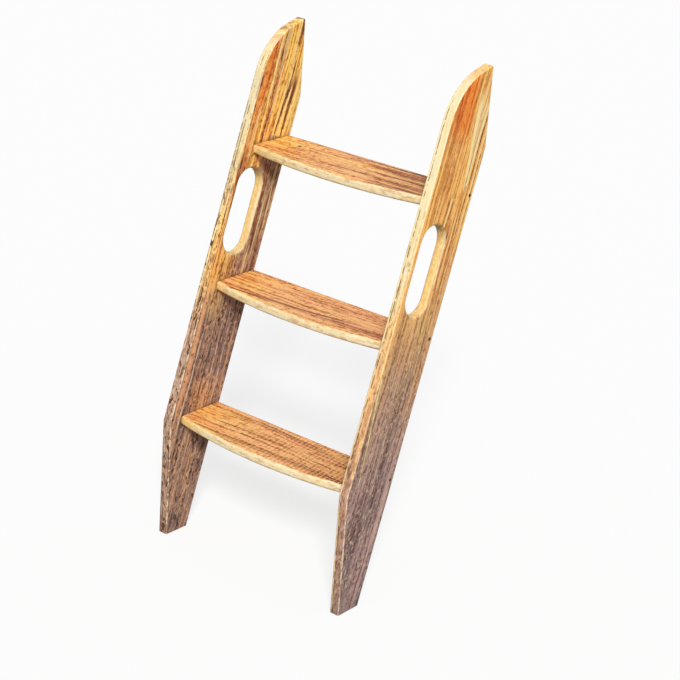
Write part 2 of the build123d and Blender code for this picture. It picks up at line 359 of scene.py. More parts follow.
STILE_FINISHES = {
    "left": StileFinish(
        heartwood=(0.0, 0.65),
        # On the left this step lies at the middle tread, and the darkening below it is partly painted shade
        brown_below=(0.54, 0.40),
        weathered="umber",
        pale_below="tan",
        cut_below="bleached",
        marks={
            "row": (1.0, 0.85),
            "unbroken": (0.50, 0.35),
            "fleck": (0.65, 1.0),
            "pale": (0.45, 0.45),
            "line": (0.80, 0.50),
            "spark": (0.20, 0.60),
        },
        cut_edge=(0.55, 0.65),
        rubbed=0.72,
        bare_tip=(0.915, 0.950, 0.0, 0.70),
        far_strip=("bleached", 0.80),
        near_strip=0.75,
        edge_lines=(0.0072, 0.0016, -0.0086),
        scars=1.0,
    ),
    "right": StileFinish(
        heartwood=(0.50, 0.85),
        brown_below=(0.74, 0.20),
        weathered="mauve",
        pale_below="bleached",
        cut_below="tan",
        marks={
            "row": (0.78, 0.75),
            "unbroken": (0.80, 0.35),
            "fleck": (0.40, 0.70),
            "pale": (0.15, 0.15),
            "line": (0.35, 0.50),
            "spark": (0.20, 0.60),
        },
        cut_edge=(0.55, 0.33),
        rubbed=0.92,
        bare_tip=(0.940, 0.958, 0.0, 0.35),
        far_strip=("cream", 0.60),
        near_strip=0.0,
        edge_lines=(-0.0042,),
        scars=0.45,
    ),
}


class TreadFinish(NamedTuple):
    """What sets one tread's wood apart. A pin knot has a place along the tread and across it."""

    reddened: float
    plane_marks: float
    pin_knot: tuple = None


TREAD_FINISHES = {
    "bottom": TreadFinish(reddened=0.30, plane_marks=0.80),
    "middle": TreadFinish(reddened=0.20, plane_marks=0.20),
    "top": TreadFinish(reddened=1.0, plane_marks=0.15, pin_knot=(-0.143, 0.0205)),
}

# Wood of all planks. A step has two limits, then its values there if they aren't nought and one.
# Pairs that aren't steps say what they are.
PATCHINESS = 0.10  # how far patches move a border
RUB_RAGGED = 0.45
RUB_BORDER = (0.36, 0.70)
RUB_PALENESS = (0.6, 1.0)  # on the rows and between them
RUB_SHOWN = (1.0, 0.70)  # between the beads and on them
FLECK_DEPTH = 0.6
SHEEN = 0.12  # of the plugs and screws too
WOOD_ROUGHNESS = (0.48, 0.75)  # of whole wood and of dark marks
WOOD_BUMP = {"Strength": 0.35, "Distance": 0.0004}

# Wood of the stiles
# How far a stile turns darker and browner towards the feet
DARKENING_BELOW = 0.92
FOOT_STAIN = (0.07, 0.0, 0.0, 0.30)
STILE_GRIME_AND_SHADE = 0.9
TOE_EDGE = (0.10, 0.30, 0.55, 1.0)
SLOT_WALL = 0.65
SLOT_WALL_BEADS = 0.35
EDGE_FLAT = (0.6, 1.0)
FRONT_RINGS = (-0.052, -0.058)
TOE_FACE = (0.003, 0.001)
NEAR_STRIP_DEPTH = (0.0025, -0.0005)
NEAR_STRIP_BELOW = (0.70, 0.60)
NEAR_STRIP_FADES = (0.48, 0.34, 1.0, 0.35)
SCARRED_BELOW = (0.84, 0.54)
EDGE_ROWS = 0.5
EDGE_LINE = 0.80
EDGE_LINE_WIDTH = 0.0013
ARRIS_MIDDLE = 0.55
ARRIS_REACH = (0.45, 0.25)
ARRIS_RINGS = (-0.045, -0.055)
ARRIS_TOE = (0.014, 0.007)
ARRIS_GAPS = (1.0, 0.1)  # strength between the dashes and on them
# Painted highlight, with some wear, along a stile's front arrises low down
ARRIS_HIGHLIGHT_AND_WEAR = 0.65

# Wood of the treads
TREAD_MARKS = {"row": 0.95, "unbroken": 0.35, "fleck": 0.75, "pale": 0.30, "line": 0.40, "spark": 0.15}
TREAD_TAN = (-0.18, -0.02, 0.30, 0.85)
TREAD_REDDENS = (0.05, 0.20)
# How much darker a tread is along its back edge
TREAD_BACK_DARKENING = 0.7
NOSE_STRAW = 0.5
NOSE_PALE = (-0.26, -0.08)
NOSE_RUBBED = (0.6, 0.95)  # strength at the left end and further right
NOSE_SCARS = (0.1, 0.5, 0.0, 0.35)
PLANE_MARK_SPACING = 0.0095
PLANE_MARK_TURN = 0.12
PLANE_MARK_REACH = (-0.17, 0.02, 0.2, 1.0)
PLANE_MARK_PALE = (0.1, 0.9, 0.0, 0.6)
PLANE_MARK_DARK = (-0.3, -0.9, 0.0, 0.7)
PIN_KNOT_RADIUS = 0.0050

# Plugs and screws
PLUG_RING_SHARE = 0.12
PLUG_PORE_SHARE = 0.5
PLUG_GLUE = (0.9, 1.0, 0.0, 0.7)
PLUG_ROUGHNESS = (0.5, 0.8)  # of whole wood and of pores
PLUG_BUMP = {"Strength": 0.4, "Distance": 0.0002}
STEEL_DULLED = 0.6
STEEL_ROUGHNESS = (0.25, 0.5)  # between the drawn marks and on them

# Stage
FLOOR_REACH = 20
SENSOR_WIDTH = 36


def length(name, description, default):
    """A length that a user may change."""
    return FloatProperty(name=name, description=description, default=default, unit="LENGTH", precision=4)


def angle(name, description, default):
    """An angle that a user may change, with its default in degrees."""
    return FloatProperty(name=name, description=description, default=radians(default), subtype="ANGLE")


def share(name, description, default):
    """A plain number between nought and one."""
    return FloatProperty(name=name, description=description, default=default, subtype="FACTOR", min=0, max=1)


def number(name, description, default):
    """A plain number."""
    return FloatProperty(name=name, description=description, default=default)


def colour(name, description, default):
    """A linear colour that a user may change."""
    return FloatVectorProperty(
        name=name, description=description, default=default, subtype="COLOR", size=3, min=0, max=1
    )


class LadderStile(bpy.types.PropertyGroup):
    """Sizes of a stile in side view."""

    lean: angle("Lean", "How far the plank leans back from the vertical", 18)
    width: length("Width", "Across the plank, square to its long edges", 0.126)
    foot_length: length("Foot", "Flat of the foot on the floor", 0.056)
    wall_face: length("Wall face", "Height of the vertical face below the tip", 0.148)
    crown_slope: angle("Crown slope", "How steeply the crown rises to the tip", 16)
    crown_radius: length("Crown radius", "Where the front edge turns into the crown", 0.120)
    kink_radius: length("Kink radius", "Where the long edges turn vertical", 0.015)
    corner_radius: length("Corner radius", "At the tip and at both ends of the foot", 0.003)
    edge_radius: length("Arris radius", "Rounding of the plank's edges", 0.0025)
    front_rail: length("Front rail", "Wood left in front of the hand slot", 0.014)
    back_rail: length("Back rail", "Wood left behind the hand slot", 0.0465)
    slot_web: length("Slot web", "Height left between a slot end and the tread next to it", 0.046)
    slot_edge_radius: length("Slot edge radius", "Rounding for the hand", 0.006)
    housing_depth: length("Housing depth", "How deep a tread end is let in", 0.006)
    housing_clearance: length("Housing clearance", "Room above and in front of a tread end", 0.0002)


class LadderTread(bpy.types.PropertyGroup):
    """Sizes of a tread."""

    setback: length("Setback", "From the stile's front edge to the nose, at the stile", 0.028)
    bow: length("Bow", "How far the nose bows out at mid span", 0.024)
    nose_radius: length("Nose radius", "Rounding of the nose", 0.006)
    back_radius: length("Back radius", "Rounding of the back edge", 0.0025)


class LadderWear(bpy.types.PropertyGroup):
    """How use and weather have shaped the wood."""

    ridge_depth: length("Ridge depth", "How far the soft growth has worn below the hard growth", 0.00022)
    ridge_spacing: length("Ridge spacing", "Usual distance between hard growth lines", 0.0062)
    hollow: length("Tread hollow", "How far feet have worn the middle of a tread", 0.0007)
    nick: length("Nick depth", "Dents along the arrises", 0.0007)
    rub_from: length("Rubbed from", "Height above which hands have rubbed the edges", 0.36)
    rub_to: length("Rubbed fully", "Height at which the edges are rubbed all over", 0.74)
    plug_rise: length("Plug rise", "How far the plugs stand above the weathered plank", 0.00015)


class LadderWood(bpy.types.PropertyGroup):
    """Colours of the wood and the steel."""

    golden: colour("Golden", "Light heartwood", (0.99, 0.64, 0.150))
    orange: colour("Orange", "Warm heartwood", (0.95, 0.47, 0.140))
    ember: colour("Ember", "Deep orange heartwood", (0.93, 0.27, 0.035))
    tan: colour("Tan", "Pinkish heartwood in the treads", (0.90, 0.46, 0.220))
    russet: colour("Russet", "Red-brown heartwood", (0.40, 0.13, 0.06))
    # The left stile turns to umber towards the feet, and umber is laid as painted shadow below the top tread
    umber: colour("Umber", "Weathered wood towards the feet", (0.30, 0.175, 0.148))
    # The right stile turns to this tint towards the feet
    mauve: colour("Mauve", "Weathered wood with a bloom", (0.33, 0.220, 0.225))
    # Also laid as painted shade below the treads and along the back edge of the left stile
    slate: colour("Slate", "Stained wood along the back edges", (0.09, 0.07, 0.065))
    bleached: colour("Bleached", "Weathered pale wood", (0.70, 0.49, 0.34))
    bloom: colour("Bloom", "Weathered wood with a pink bloom", (0.52, 0.34, 0.32))
    cream: colour("Cream", "Sapwood streaks", (0.95, 0.79, 0.38))
    # Also the tint of the painted highlight, with some wear, along the front arrises low down
    rubbed: colour("Rubbed", "Edges rubbed by hands", (0.82, 0.73, 0.49))
    straw: colour("Straw", "Wood cut along an edge", (0.88, 0.60, 0.19))
    dark: colour("Dark", "Hard growth lines", (0.11, 0.034, 0.012))
    burnt: colour("Burnt", "What the rows of pores leave of the colour", (0.56, 0.28, 0.17))
    shaded: colour("Shaded", "What they leave of it low on the stiles", (0.30, 0.23, 0.21))
    # A near-black: dirt and painted shade next to the treads and in the slots, and the pin knot
    grime_and_shade: colour("Grime_and_shade", "Dirt in the corners", (0.03, 0.018, 0.015))
    plug: colour("Plug", "End grain of the plugs", (0.035, 0.017, 0.010))
    steel: colour("Steel", "Screws", (0.42, 0.42, 0.43))


class LadderStage(bpy.types.PropertyGroup):
    """Camera, floor and light."""

    camera_place: FloatVectorProperty(
        name="Camera place", description="Where the camera stands", default=(2.032, -2.5509, 1.7175),
        subtype="TRANSLATION", size=3,
    )
    azimuth: angle("Azimuth", "Turn of the view, from straight along Y", 37.754)
    elevation: angle("Elevation", "How far the view looks down", 21.608)
    roll: angle("Roll", "Turn of the camera about its line of sight", 4.327)
    lens: number("Lens", "Focal length on a 36 mm sensor, in millimetres", 101.51)
    floor_colour: colour("Floor", "Colour of the floor as it is seen", (0.90, 0.90, 0.90))
    floor_bounce: colour(
        "Floor bounce", "Colour of the light that the floor throws back", (0.35, 0.35, 0.35)
    )
    floor_white: share("Floor white", "Share of the floor that is seen as plain white", 0.75)
    sky: number("Sky", "Strength of the light from all round", 0.34)
    key: number("Key", "Strength of the lamp, one for a white card that faces it", 1.1)
    key_azimuth: angle("Key azimuth", "Turn of the lamp, from straight along Y", 40)
    key_elevation: angle("Key elevation", "How high the lamp stands", 38)
    key_softness: angle("Key softness", "How wide the lamp looks from the ladder", 12)


class Plank:
    """Where a stile's edges, slot and housings lie in side view."""

    def __init__(self, stile, tread):
        self.sin, self.cos, self.tan = sin(stile.lean), cos(stile.lean), tan(stile.lean)
        self.toe, self.wall = STILE_LOW.y, STILE_HIGH.y
        self.inner, self.thickness = STILE_LOW.x, STILE_HIGH.x - STILE_LOW.x
        self.heel = self.toe + stile.foot_length
        self.run = stile.width / self.cos
        self.wall_foot = (self.wall - self.heel) / self.tan
        self.tip = self.wall_foot + stile.wall_face
        self.slot_radius = (stile.width - stile.front_rail - stile.back_rail) / 2
        self.mid_across = (self.heel * self.cos) - stile.width / 2
        slot_middle = (TREAD_TOPS[-1] + TREAD_TOPS[-2]) / 2
        pitch = TREAD_TOPS[-1] - TREAD_TOPS[-2]
        half_gap = (pitch / 2 - stile.slot_web - self.slot_radius) / self.cos
        centre = np.array([
            self.front_edge(slot_middle) + (stile.front_rail + self.slot_radius) / self.cos, slot_middle
        ])
        self.slot_ends = centre + half_gap * np.array([[-self.sin, -self.cos], [self.sin, self.cos]])
        self.setback = tread.setback

    def back_edge(self, z):
        """Level place of the back edge at height z."""
        return self.heel + z * self.tan

    def front_edge(self, z):
        """Level place of the front edge at height z."""
        return self.back_edge(z) - self.run

    def nose(self, top):
        """Level place of a tread's nose where it meets the stile."""
        return self.front_edge(top) + self.setback

    def corners(self, stile):
        """Corners of the outline and their radii, counter-clockwise from the heel."""
        tan_crown = tan(stile.crown_slope)
        crown_z = (self.tip - (self.wall - self.front_edge(0)) * tan_crown) / (1 - self.tan * tan_crown)
        kink_z = (self.toe - self.front_edge(0)) / self.tan
        places = [
            (self.heel, 0),
            (self.wall, self.wall_foot),
            (self.wall, self.tip),
            (self.front_edge(crown_z), crown_z),
            (self.toe, kink_z),
            (self.toe, 0),
        ]
        radii = [
            stile.corner_radius,
            stile.kink_radius,
            stile.corner_radius,
            stile.crown_radius,
            stile.kink_radius,
            stile.corner_radius,
        ]
        return np.array(places), radii


def even_steps(knots, step):
    """The knots, with each gap between two of them cut into equal steps no longer than step."""
    counts = np.maximum(1, np.ceil(np.diff(knots) / step - STEP_SLACK)).astype(int)
    marks = np.concatenate([[0], np.cumsum(counts)])
    return np.interp(np.arange(marks[-1] + 1), marks, knots)


def rounded_corners(corners, radii, step):
    """Points and normal angles of the arcs that round a polygon's corners, counter-clockwise.

    A corner with radius r and turn t is an arc about a centre that lies r inside both runs; its
    normal turns evenly from one run's normal to the next. The runs between arcs stay straight.
    """
    points, angles = [], []
    for before, corner, after, radius in zip(
        np.roll(corners, 1, axis=0), corners, np.roll(corners, -1, axis=0), radii
    ):
        run_in = (corner - before) / hypot(*(corner - before))
        run_out = (after - corner) / hypot(*(after - corner))
        turn = np.arccos(np.clip(run_in @ run_out, -1, 1))
        count = max(ARC_STEPS, ceil(radius * turn / step))
        normal_angle = np.arctan2(-run_in[0], run_in[1]) + np.linspace(0, turn, count + 1)
        normal = np.stack([np.cos(normal_angle), np.sin(normal_angle)], axis=-1)
        centre = corner - run_in * radius * tan(turn / 2) - radius * normal[0]
        points.append(centre + radius * normal)
        angles.append(normal_angle)
    return np.concatenate(points), np.unwrap(np.concatenate(angles))


def edge_profile(radius, thickness, flats):
    """Depth below the inner face and reach across an edge rounded on both sides.

    Depth is r (1 - cos a) and reach is r sin a over each quarter turn a; between the two quarter
    turns the reach stays r, and flats gives the depths of the points there.
    """
    quarter = np.linspace(0, pi / 2, ARC_STEPS + 1)
    depth = np.concatenate([radius * (1 - np.cos(quarter)), flats])
    depth = np.concatenate([depth, thickness - radius * (1 - np.cos(quarter[::-1]))])
    reach = np.concatenate([radius * np.sin(quarter), np.full(len(flats), radius)])
    reach = np.concatenate([reach, radius * np.sin(quarter[::-1])])
    return depth, reach


def slot_side(plank, z, radius, side):
    """Level place of one side of a slot of the given radius at heights z, front (-1) or back (1).

    A slot is all points within its radius of the line between its ends, so a side is a straight
    edge that leans with the plank, and beyond it the circle about the nearer end.
    """
    (low_y, low_z), (high_y, high_z) = plank.slot_ends
    tangent = -side * radius * plank.sin
    straight = low_y + (z - low_z) * plank.tan + side * radius / plank.cos
    end_y = np.where(z < low_z + tangent, low_y, high_y)
    end_z = np.where(z < low_z + tangent, low_z, high_z)
    drop = np.clip(radius - np.abs(z - end_z), 0, None)
    chord = np.where(drop < LEAST_DROP, 0, np.sqrt(drop * (2 * radius - drop)))
    return np.where((z < low_z + tangent) | (z > high_z + tangent), end_y + side * chord, straight)


def slot_normals(plank, points):
    """Unit vectors from the slot's middle line out to points round it."""
    low, high = plank.slot_ends
    line = high - low
    place = np.clip((points - low) @ line / (line @ line), 0, 1)
    away = points - (low + place[:, None] * line)
    return away / np.linalg.norm(away, axis=1)[:, None]


def quads(rows, columns, first):
    """Corner numbers of a grid's faces, with its points numbered row by row from first."""
    numbers = first + np.arange(rows * columns).reshape(rows, columns)
    return np.stack(
        [numbers[:-1, :-1], numbers[:-1, 1:], numbers[1:, 1:], numbers[1:, :-1]], axis=-1
    ).reshape(-1, 4)


def joined_mesh(name, patches):
    """One closed mesh from patches, each a grid of points and the named values at each of them."""
    corners, faces = [], []
    values = {field: [] for field in patches[0][1]}
    count = 0
    for points, fields in patches:
        rows, columns = points.shape[:2]
        faces.append(quads(rows, columns, count))
        corners.append(points.reshape(-1, 3))
        for field, value in fields.items():
            values[field].append(np.broadcast_to(value, (rows, columns)).reshape(-1))
        count += rows * columns
    mesh = bpy.data.meshes.new(name)
    mesh.from_pydata(np.concatenate(corners).tolist(), [], np.concatenate(faces).tolist())
    for field, pieces in values.items():
        store(mesh, field, "FLOAT", np.concatenate(pieces))
    work = bmesh.new()
    work.from_mesh(mesh)
    bmesh.ops.remove_doubles(work, verts=work.verts, dist=MERGE_DISTANCE)
    bmesh.ops.dissolve_degenerate(work, edges=work.edges, dist=MERGE_DISTANCE)
    bmesh.ops.recalc_face_normals(work, faces=work.faces)
    work.to_mesh(mesh)
    work.free()
    mesh.polygons.foreach_set("use_smooth", np.ones(len(mesh.polygons), dtype=bool))
    return mesh


def closed(grid, fields):
    """A grid whose last row is its first again, with its values."""
    whole = {name: np.broadcast_to(value, grid.shape[:2]) for name, value in fields.items()}
    again = {name: np.concatenate([value, value[:1]]) for name, value in whole.items()}
    return np.concatenate([grid, grid[:1]]), again


def store(mesh, name, kind, values):
    """Writes one value or vector for each point as a named attribute."""
    holder = mesh.attributes.get(name) or mesh.attributes.new(name, kind, "POINT")
    field = "vector" if kind == "FLOAT_VECTOR" else "value"
    holder.data.foreach_set(field, np.ascontiguousarray(values, dtype=np.float32).reshape(-1))


def read(items, field, width):
    """A mesh collection's field as an array."""
    values = np.empty(len(items) * width, dtype=np.float32)
    items.foreach_get(field, values)
    return values.reshape(-1, width).astype(float) if width > 1 else values.astype(float)


def waves(table, along, across, seed):
    """Sum of sine waves of the given lengths along and across a plank, with phases from the seed."""
    phases = np.random.default_rng(seed).uniform(0, 2 * pi, len(table))
    return sum(
        part * np.sin(2 * pi * (along / length_along + across / length_across) + phase)
        for (length_along, length_across, part), phase in zip(table, phases)
    )


def ridges(ring, along, spacing, seed):
    """Height of the hard growth lines, nought to one.

    It is the square of a sine wave across the rings, whose turn, 2 pi times the ring over the
    spacing, is bent by two longer waves. The height swells and falls along the plank.
    """
    *bend_phases, swell_phase = np.random.default_rng(seed + RIDGE_SEED).uniform(0, 2 * pi, 3)
    turn = 2 * pi * ring / spacing
    bends = [
        bend * np.sin(2 * pi * ring / (bend_length * spacing) + phase)
        for (bend_length, bend), phase in zip(RIDGE_BENDS, bend_phases)
    ]
    length_along, length_across = RIDGE_SWELL_LENGTHS
    swell_turn = 2 * pi * (along / length_along + ring / length_across) / spacing + swell_phase
    swell = 1 - RIDGE_SWELL + RIDGE_SWELL * np.sin(swell_turn)
    return swell * (0.5 + 0.5 * np.sin(turn + sum(bends))) ** 2


def nicks(along, across, seed):
    """Dents, nought to one: the squared tops of waves along an edge that beat against each other."""
    return np.clip(2 * waves(NICK_WAVES, along, across, seed + NICK_SEED) - 1, 0, 1) ** 2


def weather(mesh, wear, along, across, depth, seed, drift, extra=0):
    """Wears a plank's surface below its true shape, and stores what its material reads.

    Each point sinks along its normal by the ridge depth where the growth is soft, by the nick depth
    where an arris is dented, and by extra. The grain attribute holds the place along the plank, the
    ring place across it and the depth, so that a pattern on it follows the growth lines.
    """
    edge = read(mesh.attributes["edge"].data, "value", 1)
    ring = across + drift * waves(DRIFT_WAVES, along, across, seed) + RING_TILT * depth
    ridge = ridges(ring, along, wear.ridge_spacing, seed)
    arris = np.clip(1 - np.abs(2 * edge - 1), 0, 1)
    sink = wear.ridge_depth * (1 - ridge) + wear.nick * nicks(along, across, seed) * arris + extra
    points = read(mesh.vertices, "co", 3) - read(mesh.vertex_normals, "vector", 3) * sink[:, None]
    mesh.vertices.foreach_set("co", points.astype(np.float32).reshape(-1))
    store(mesh, "grain", "FLOAT_VECTOR", np.stack([along, ring, depth], axis=-1))
    mesh.update()
    mesh.set_sharp_from_angle(angle=SHARP_ANGLE)


def place_piece(name, mesh, material, slot, *nodes):
    """Puts a finished mesh in the scene, riding on the ladder in place of its nodes."""
    mesh.materials.clear()
    mesh.materials.append(material)
    piece = bpy.data.objects.new(name, mesh)
    bpy.context.scene.collection.objects.link(piece)
    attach(piece, "root")
    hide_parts(*nodes)


def row_heights(plank, stile, tread, contour_z):
    """Heights of a stile's rows of points, and the limits of its housings, which have two rows each.

    There is a row at each end of the outline and the slot, at the points of the outline's arcs and at
    even turns round the slot's ends and the mouths of the housings. No two of them lie nearer than the
    row gap, except where a limit has two, and the gaps between them are cut into even steps.
    """
    slot_radius = plank.slot_radius + stile.slot_edge_radius
    fall = slot_radius * (1 - np.cos(np.linspace(0, pi / 2 + stile.lean, SLOT_ARC_STEPS + 1)))
    mouth = tread.nose_radius * (1 - np.cos(np.linspace(0, pi / 2, ARC_STEPS + 1)))
    slot_low, slot_high = plank.slot_ends[0][1] - slot_radius, plank.slot_ends[1][1] + slot_radius
    limits = np.array([(top - TREAD_THICKNESS, top + stile.housing_clearance) for top in TREAD_TOPS])
    loose = [contour_z, slot_low + fall, slot_high - fall]
    loose += [low + mouth for low in limits[:, 0]]
    loose += [high - mouth for high in limits[:, 1]]
    fixed = np.array([contour_z.min(), contour_z.max(), slot_low, slot_high, *limits.flat])
    loose = np.unique(np.round(np.concatenate(loose) / ROW_GAP)) * ROW_GAP
    loose = loose[np.abs(loose[:, None] - fixed).min(axis=1) > ROW_GAP]
    loose = loose[(loose > fixed[0]) & (loose < fixed[1])]
    knots = np.sort(np.concatenate([loose, fixed, limits.reshape(-1)]))
    return even_steps(knots, ROW_STEP), limits


class StileRows:
    """Where a stile's level rows of points meet its edges, its slot and its housings.

    The outline is drawn in by the arris radius, and its front and back have the angle of the normal
    at each row. A row runs from the front edge to the slot, or to a line that carries on from the
    slot's ends, and from there to the back edge. The split is where a row's points divide: half way
    to the slot, or at the mouth of a housing.
    """

    def __init__(self, plank, stile, tread):
        arcs, angles = rounded_corners(*plank.corners(stile), CROWN_STEP)
        contour = arcs - stile.edge_radius * np.stack([np.cos(angles), np.sin(angles)], axis=-1)
        self.z, limits = row_heights(plank, stile, tread, contour[:, 1])
        top = int(np.argmax(contour[:, 1]))
        self.back, self.back_angle = self.followed(contour, angles, slice(None, top + 1))
        self.front, self.front_angle = self.followed(contour, angles, slice(None, top - 1, -1))
        self.housed = np.zeros(len(self.z), dtype=bool)
        self.level = np.zeros(len(self.z), dtype=bool)
        self.set_slot(plank, stile)
        self.set_housings(plank, stile, tread, limits)

    def followed(self, contour, angles, part):
        """Level places and normal angles along one side of the outline, row by row."""
        heights = contour[part, 1]
        return np.interp(self.z, heights, contour[part, 0]), np.interp(self.z, heights, angles[part])

    def set_slot(self, plank, stile):
        """Finds the slot's two sides, which meet in one line above and below it."""
        z, radius = self.z, plank.slot_radius + stile.slot_edge_radius
        (low_y, low_z), (high_y, high_z) = plank.slot_ends + [[0, -radius], [0, radius]]
        self.beside_slot = (z >= low_z - ROW_GAP / 2) & (z <= high_z + ROW_GAP / 2)
        self.past_slot = (z < low_z) | (z > high_z)
        middle = np.where(z < low_z, low_y + (z - low_z) * plank.tan, high_y)
        middle = np.where(z > high_z, high_y + (z - high_z) * plank.tan, middle)
        self.middle = np.clip(middle, self.front, self.back)
        self.slot_front = np.where(self.past_slot, self.middle, slot_side(plank, z, radius, -1))
        self.slot_back = np.where(self.past_slot, self.middle, slot_side(plank, z, radius, 1))

    def set_housings(self, plank, stile, tread, limits):
        """Finds the rows in each housing and next to it, and splits them at its rounded mouth."""
        z = self.z
        self.split = (self.front + self.slot_front) / 2
        for (low, high), tread_top in zip(limits, TREAD_TOPS):
            first, last = np.searchsorted(z, low, "right") - 1, np.searchsorted(z, high, "left")
            inside = slice(first - 1, last + 2)
            self.housed[first:last + 1] = True
            self.level[inside] = True
            short = np.clip(tread.nose_radius - np.minimum(z - low, high - z)[inside], 0, None)
            mouth = plank.nose(tread_top) - stile.housing_clearance
            self.split[inside] = mouth + tread.nose_radius - np.sqrt(tread.nose_radius**2 - short**2)
        middle = np.where(self.level, np.maximum(self.middle, self.split + stile.edge_radius), self.middle)
        self.slot_front = np.where(self.past_slot, middle, self.slot_front)
        self.slot_back = np.where(self.past_slot, middle, self.slot_back)


def stile_faces(rows, plank, stile, thickness):
    """The grids of a stile's two faces, before and behind the slot, and the level places of its foot.

    A face is a stack of level rows at one depth. In a housing the inner face lies deeper, with a
    wall where the depth steps.
    """

    def across(start, end, count):
        """Level places in even steps from start to end, row by row."""
        return start[:, None] + (end - start)[:, None] * np.linspace(0, 1, count)

    def face(depth, y):
        """Points at the given depth below the inner face, with y and the rows' heights."""
        return np.stack(np.broadcast_arrays(plank.inner + depth, y, rows.z[:, None]), axis=-1)

    housing = np.where(rows.housed, stile.housing_depth, 0)[:, None]
    open_back = np.where(rows.housed, rows.back + stile.edge_radius / np.cos(rows.back_angle), rows.back)
    ahead = across(rows.front, rows.split, COLUMNS["front_rail"])
    to_slot = across(rows.split, rows.slot_front, COLUMNS["mid_rail"])
    behind = across(rows.slot_back, open_back, COLUMNS["back_rail"])
    behind_outside = across(rows.slot_back, rows.back, COLUMNS["back_rail"])
    grids = [
        np.concatenate([face(0, ahead), face(housing, to_slot)], axis=1),
        face(housing, behind),
        np.concatenate([face(thickness, ahead), face(thickness, to_slot)], axis=1),
        face(thickness, behind_outside),
    ]
    return grids, np.concatenate([ahead[0], to_slot[0], behind[0]])


def stile_rim(rows, plank, stile, thickness, foot):
    """The rim round a stile: the rounded edge profile carried round the outline.

    It goes along the foot, up the back edge, over the crown and down the front edge. Where a housing
    is open at the back, the rim begins at the housing's depth.
    """
    radius, count = stile.edge_radius, len(foot)
    path = np.concatenate([
        np.stack([foot, np.full(count, rows.z[0])], -1),
        np.stack([rows.back, rows.z], -1)[1:],
        np.stack([rows.front, rows.z], -1)[-2::-1],
    ])
    angles = np.concatenate([np.full(count, -pi / 2), rows.back_angle[1:], rows.front_angle[-2::-1]])
    beside, notched = np.zeros((2, len(path)), dtype=bool)
    up_the_back = slice(count, count + len(rows.z) - 1)
    beside[up_the_back] = rows.level[1:]
    notched[up_the_back] = rows.housed[1:]
    outward = np.stack([np.cos(angles), np.sin(angles)], -1)
    outward[beside] = np.stack([1 / np.cos(angles[beside]), np.zeros(beside.sum())], -1)
    flats = [stile.housing_depth, *(thickness * part for part in RIM_FLATS), thickness - stile.housing_depth]
    depth, reach = edge_profile(radius, thickness, np.array(flats))
    cut = notched[:, None] & (depth < stile.housing_depth)
    depth, reach = np.where(cut, stile.housing_depth, depth), np.where(cut, radius, reach)
    points = path[:, None, :] + outward[:, None, :] * reach[..., None]
    grid = np.concatenate([(plank.inner + depth)[..., None], points], axis=-1)
    handled = np.clip(HANDLED_ALL_ROUND - HANDLED_IN_FRONT * np.cos(angles), 0, 1)
    rub = reach / radius * np.where(notched, 0, handled)[:, None]
    return grid, {"edge": reach / radius, "rub": rub}


def slot_wall(rows, plank, stile, thickness):
    """The wall of a stile's slot: the edge profile, rounded for the hand, carried round the slot."""
    radius = stile.slot_edge_radius
    hole = np.concatenate([
        np.stack([rows.slot_front, rows.z], -1)[rows.beside_slot],
        np.stack([rows.slot_back, rows.z], -1)[rows.beside_slot][-2:0:-1],
    ])
    inward = -slot_normals(plank, hole)
    flats = np.linspace(radius, thickness - radius, SLOT_FLATS + 2)[1:-1]
    depth, reach = edge_profile(radius, thickness, flats)
    points = hole[:, None, :] + inward[:, None, :] * reach[:, None]
    depths = np.broadcast_to(plank.inner + depth, points.shape[:2])[..., None]
    edge = np.broadcast_to(reach / radius, points.shape[:2])
    gripped = np.clip(GRIPPED_ALL_ROUND + inward @ GRIPPED_TOWARDS, 0, 1)[:, None]
    # Painted shade, with some dirt, on the upper back of the wall, which faces down
    upper_back = np.clip(-inward @ SLOT_SHADE_TOWARDS, 0, 1)[:, None] ** SLOT_SHADE_POWER
    outer_half = np.clip(2 * edge, 0, 1)
    wall = np.clip(4 * edge - 3, 0, 1)
    return np.concatenate([depths, points], axis=-1), {
        "edge": edge,
        "rub": gripped * (outer_half - SLOT_WALL_UNRUBBED * wall),
        "grime_and_shade": SLOT_SHADE_AND_GRIME * upper_back * outer_half * (1 - edge / 2),
        "wall": wall * np.clip(1 - inward[:, 1:], 0, 1),
    }


def stile_patches(plank, stile, tread, thickness):
    """The grids of one stile, with the values at their points.

    The edge value is the share of an edge's reach. Rub says where hands have rubbed it, the darkening
    value where dirt and painted shade lie, and wall where the slot is cut.
    """
    rows = StileRows(plank, stile, tread)
    plain = dict.fromkeys(("edge", "rub", "grime_and_shade", "wall"), 0.0)
    grids, foot = stile_faces(rows, plank, stile, thickness)
    rim, rim_fields = stile_rim(rows, plank, stile, thickness, foot)
    wall, wall_fields = slot_wall(rows, plank, stile, thickness)
    edges = [closed(rim, {**plain, **rim_fields}), closed(wall, wall_fields)]
    return [(grid, plain) for grid in grids] + edges


def corner_grime_and_shade(plank, depth_inside, y, z):
    """Dirt and painted shade on a stile's inner face next to the treads.

    At a distance d from a tread it is exp(-(d / reach)^2), and less above the tread than below it.
    """
    grime_and_shade = np.zeros(len(z))
    for top in TREAD_TOPS:
        middle = top - TREAD_THICKNESS / 2
        away = np.abs(z - middle) - TREAD_THICKNESS / 2
        near = np.exp(-((away / GRIME_AND_SHADE_REACH) ** 2)) * np.where(z < middle, 1.0, GRIME_AND_SHADE_ABOVE)
        beside = (y > plank.nose(top)) & (away > -GRIME_AND_SHADE_INSIDE)
        grime_and_shade = np.maximum(grime_and_shade, np.where(beside, near, 0))
    return np.where(depth_inside < GRIME_AND_SHADE_DEPTH, grime_and_shade, 0)


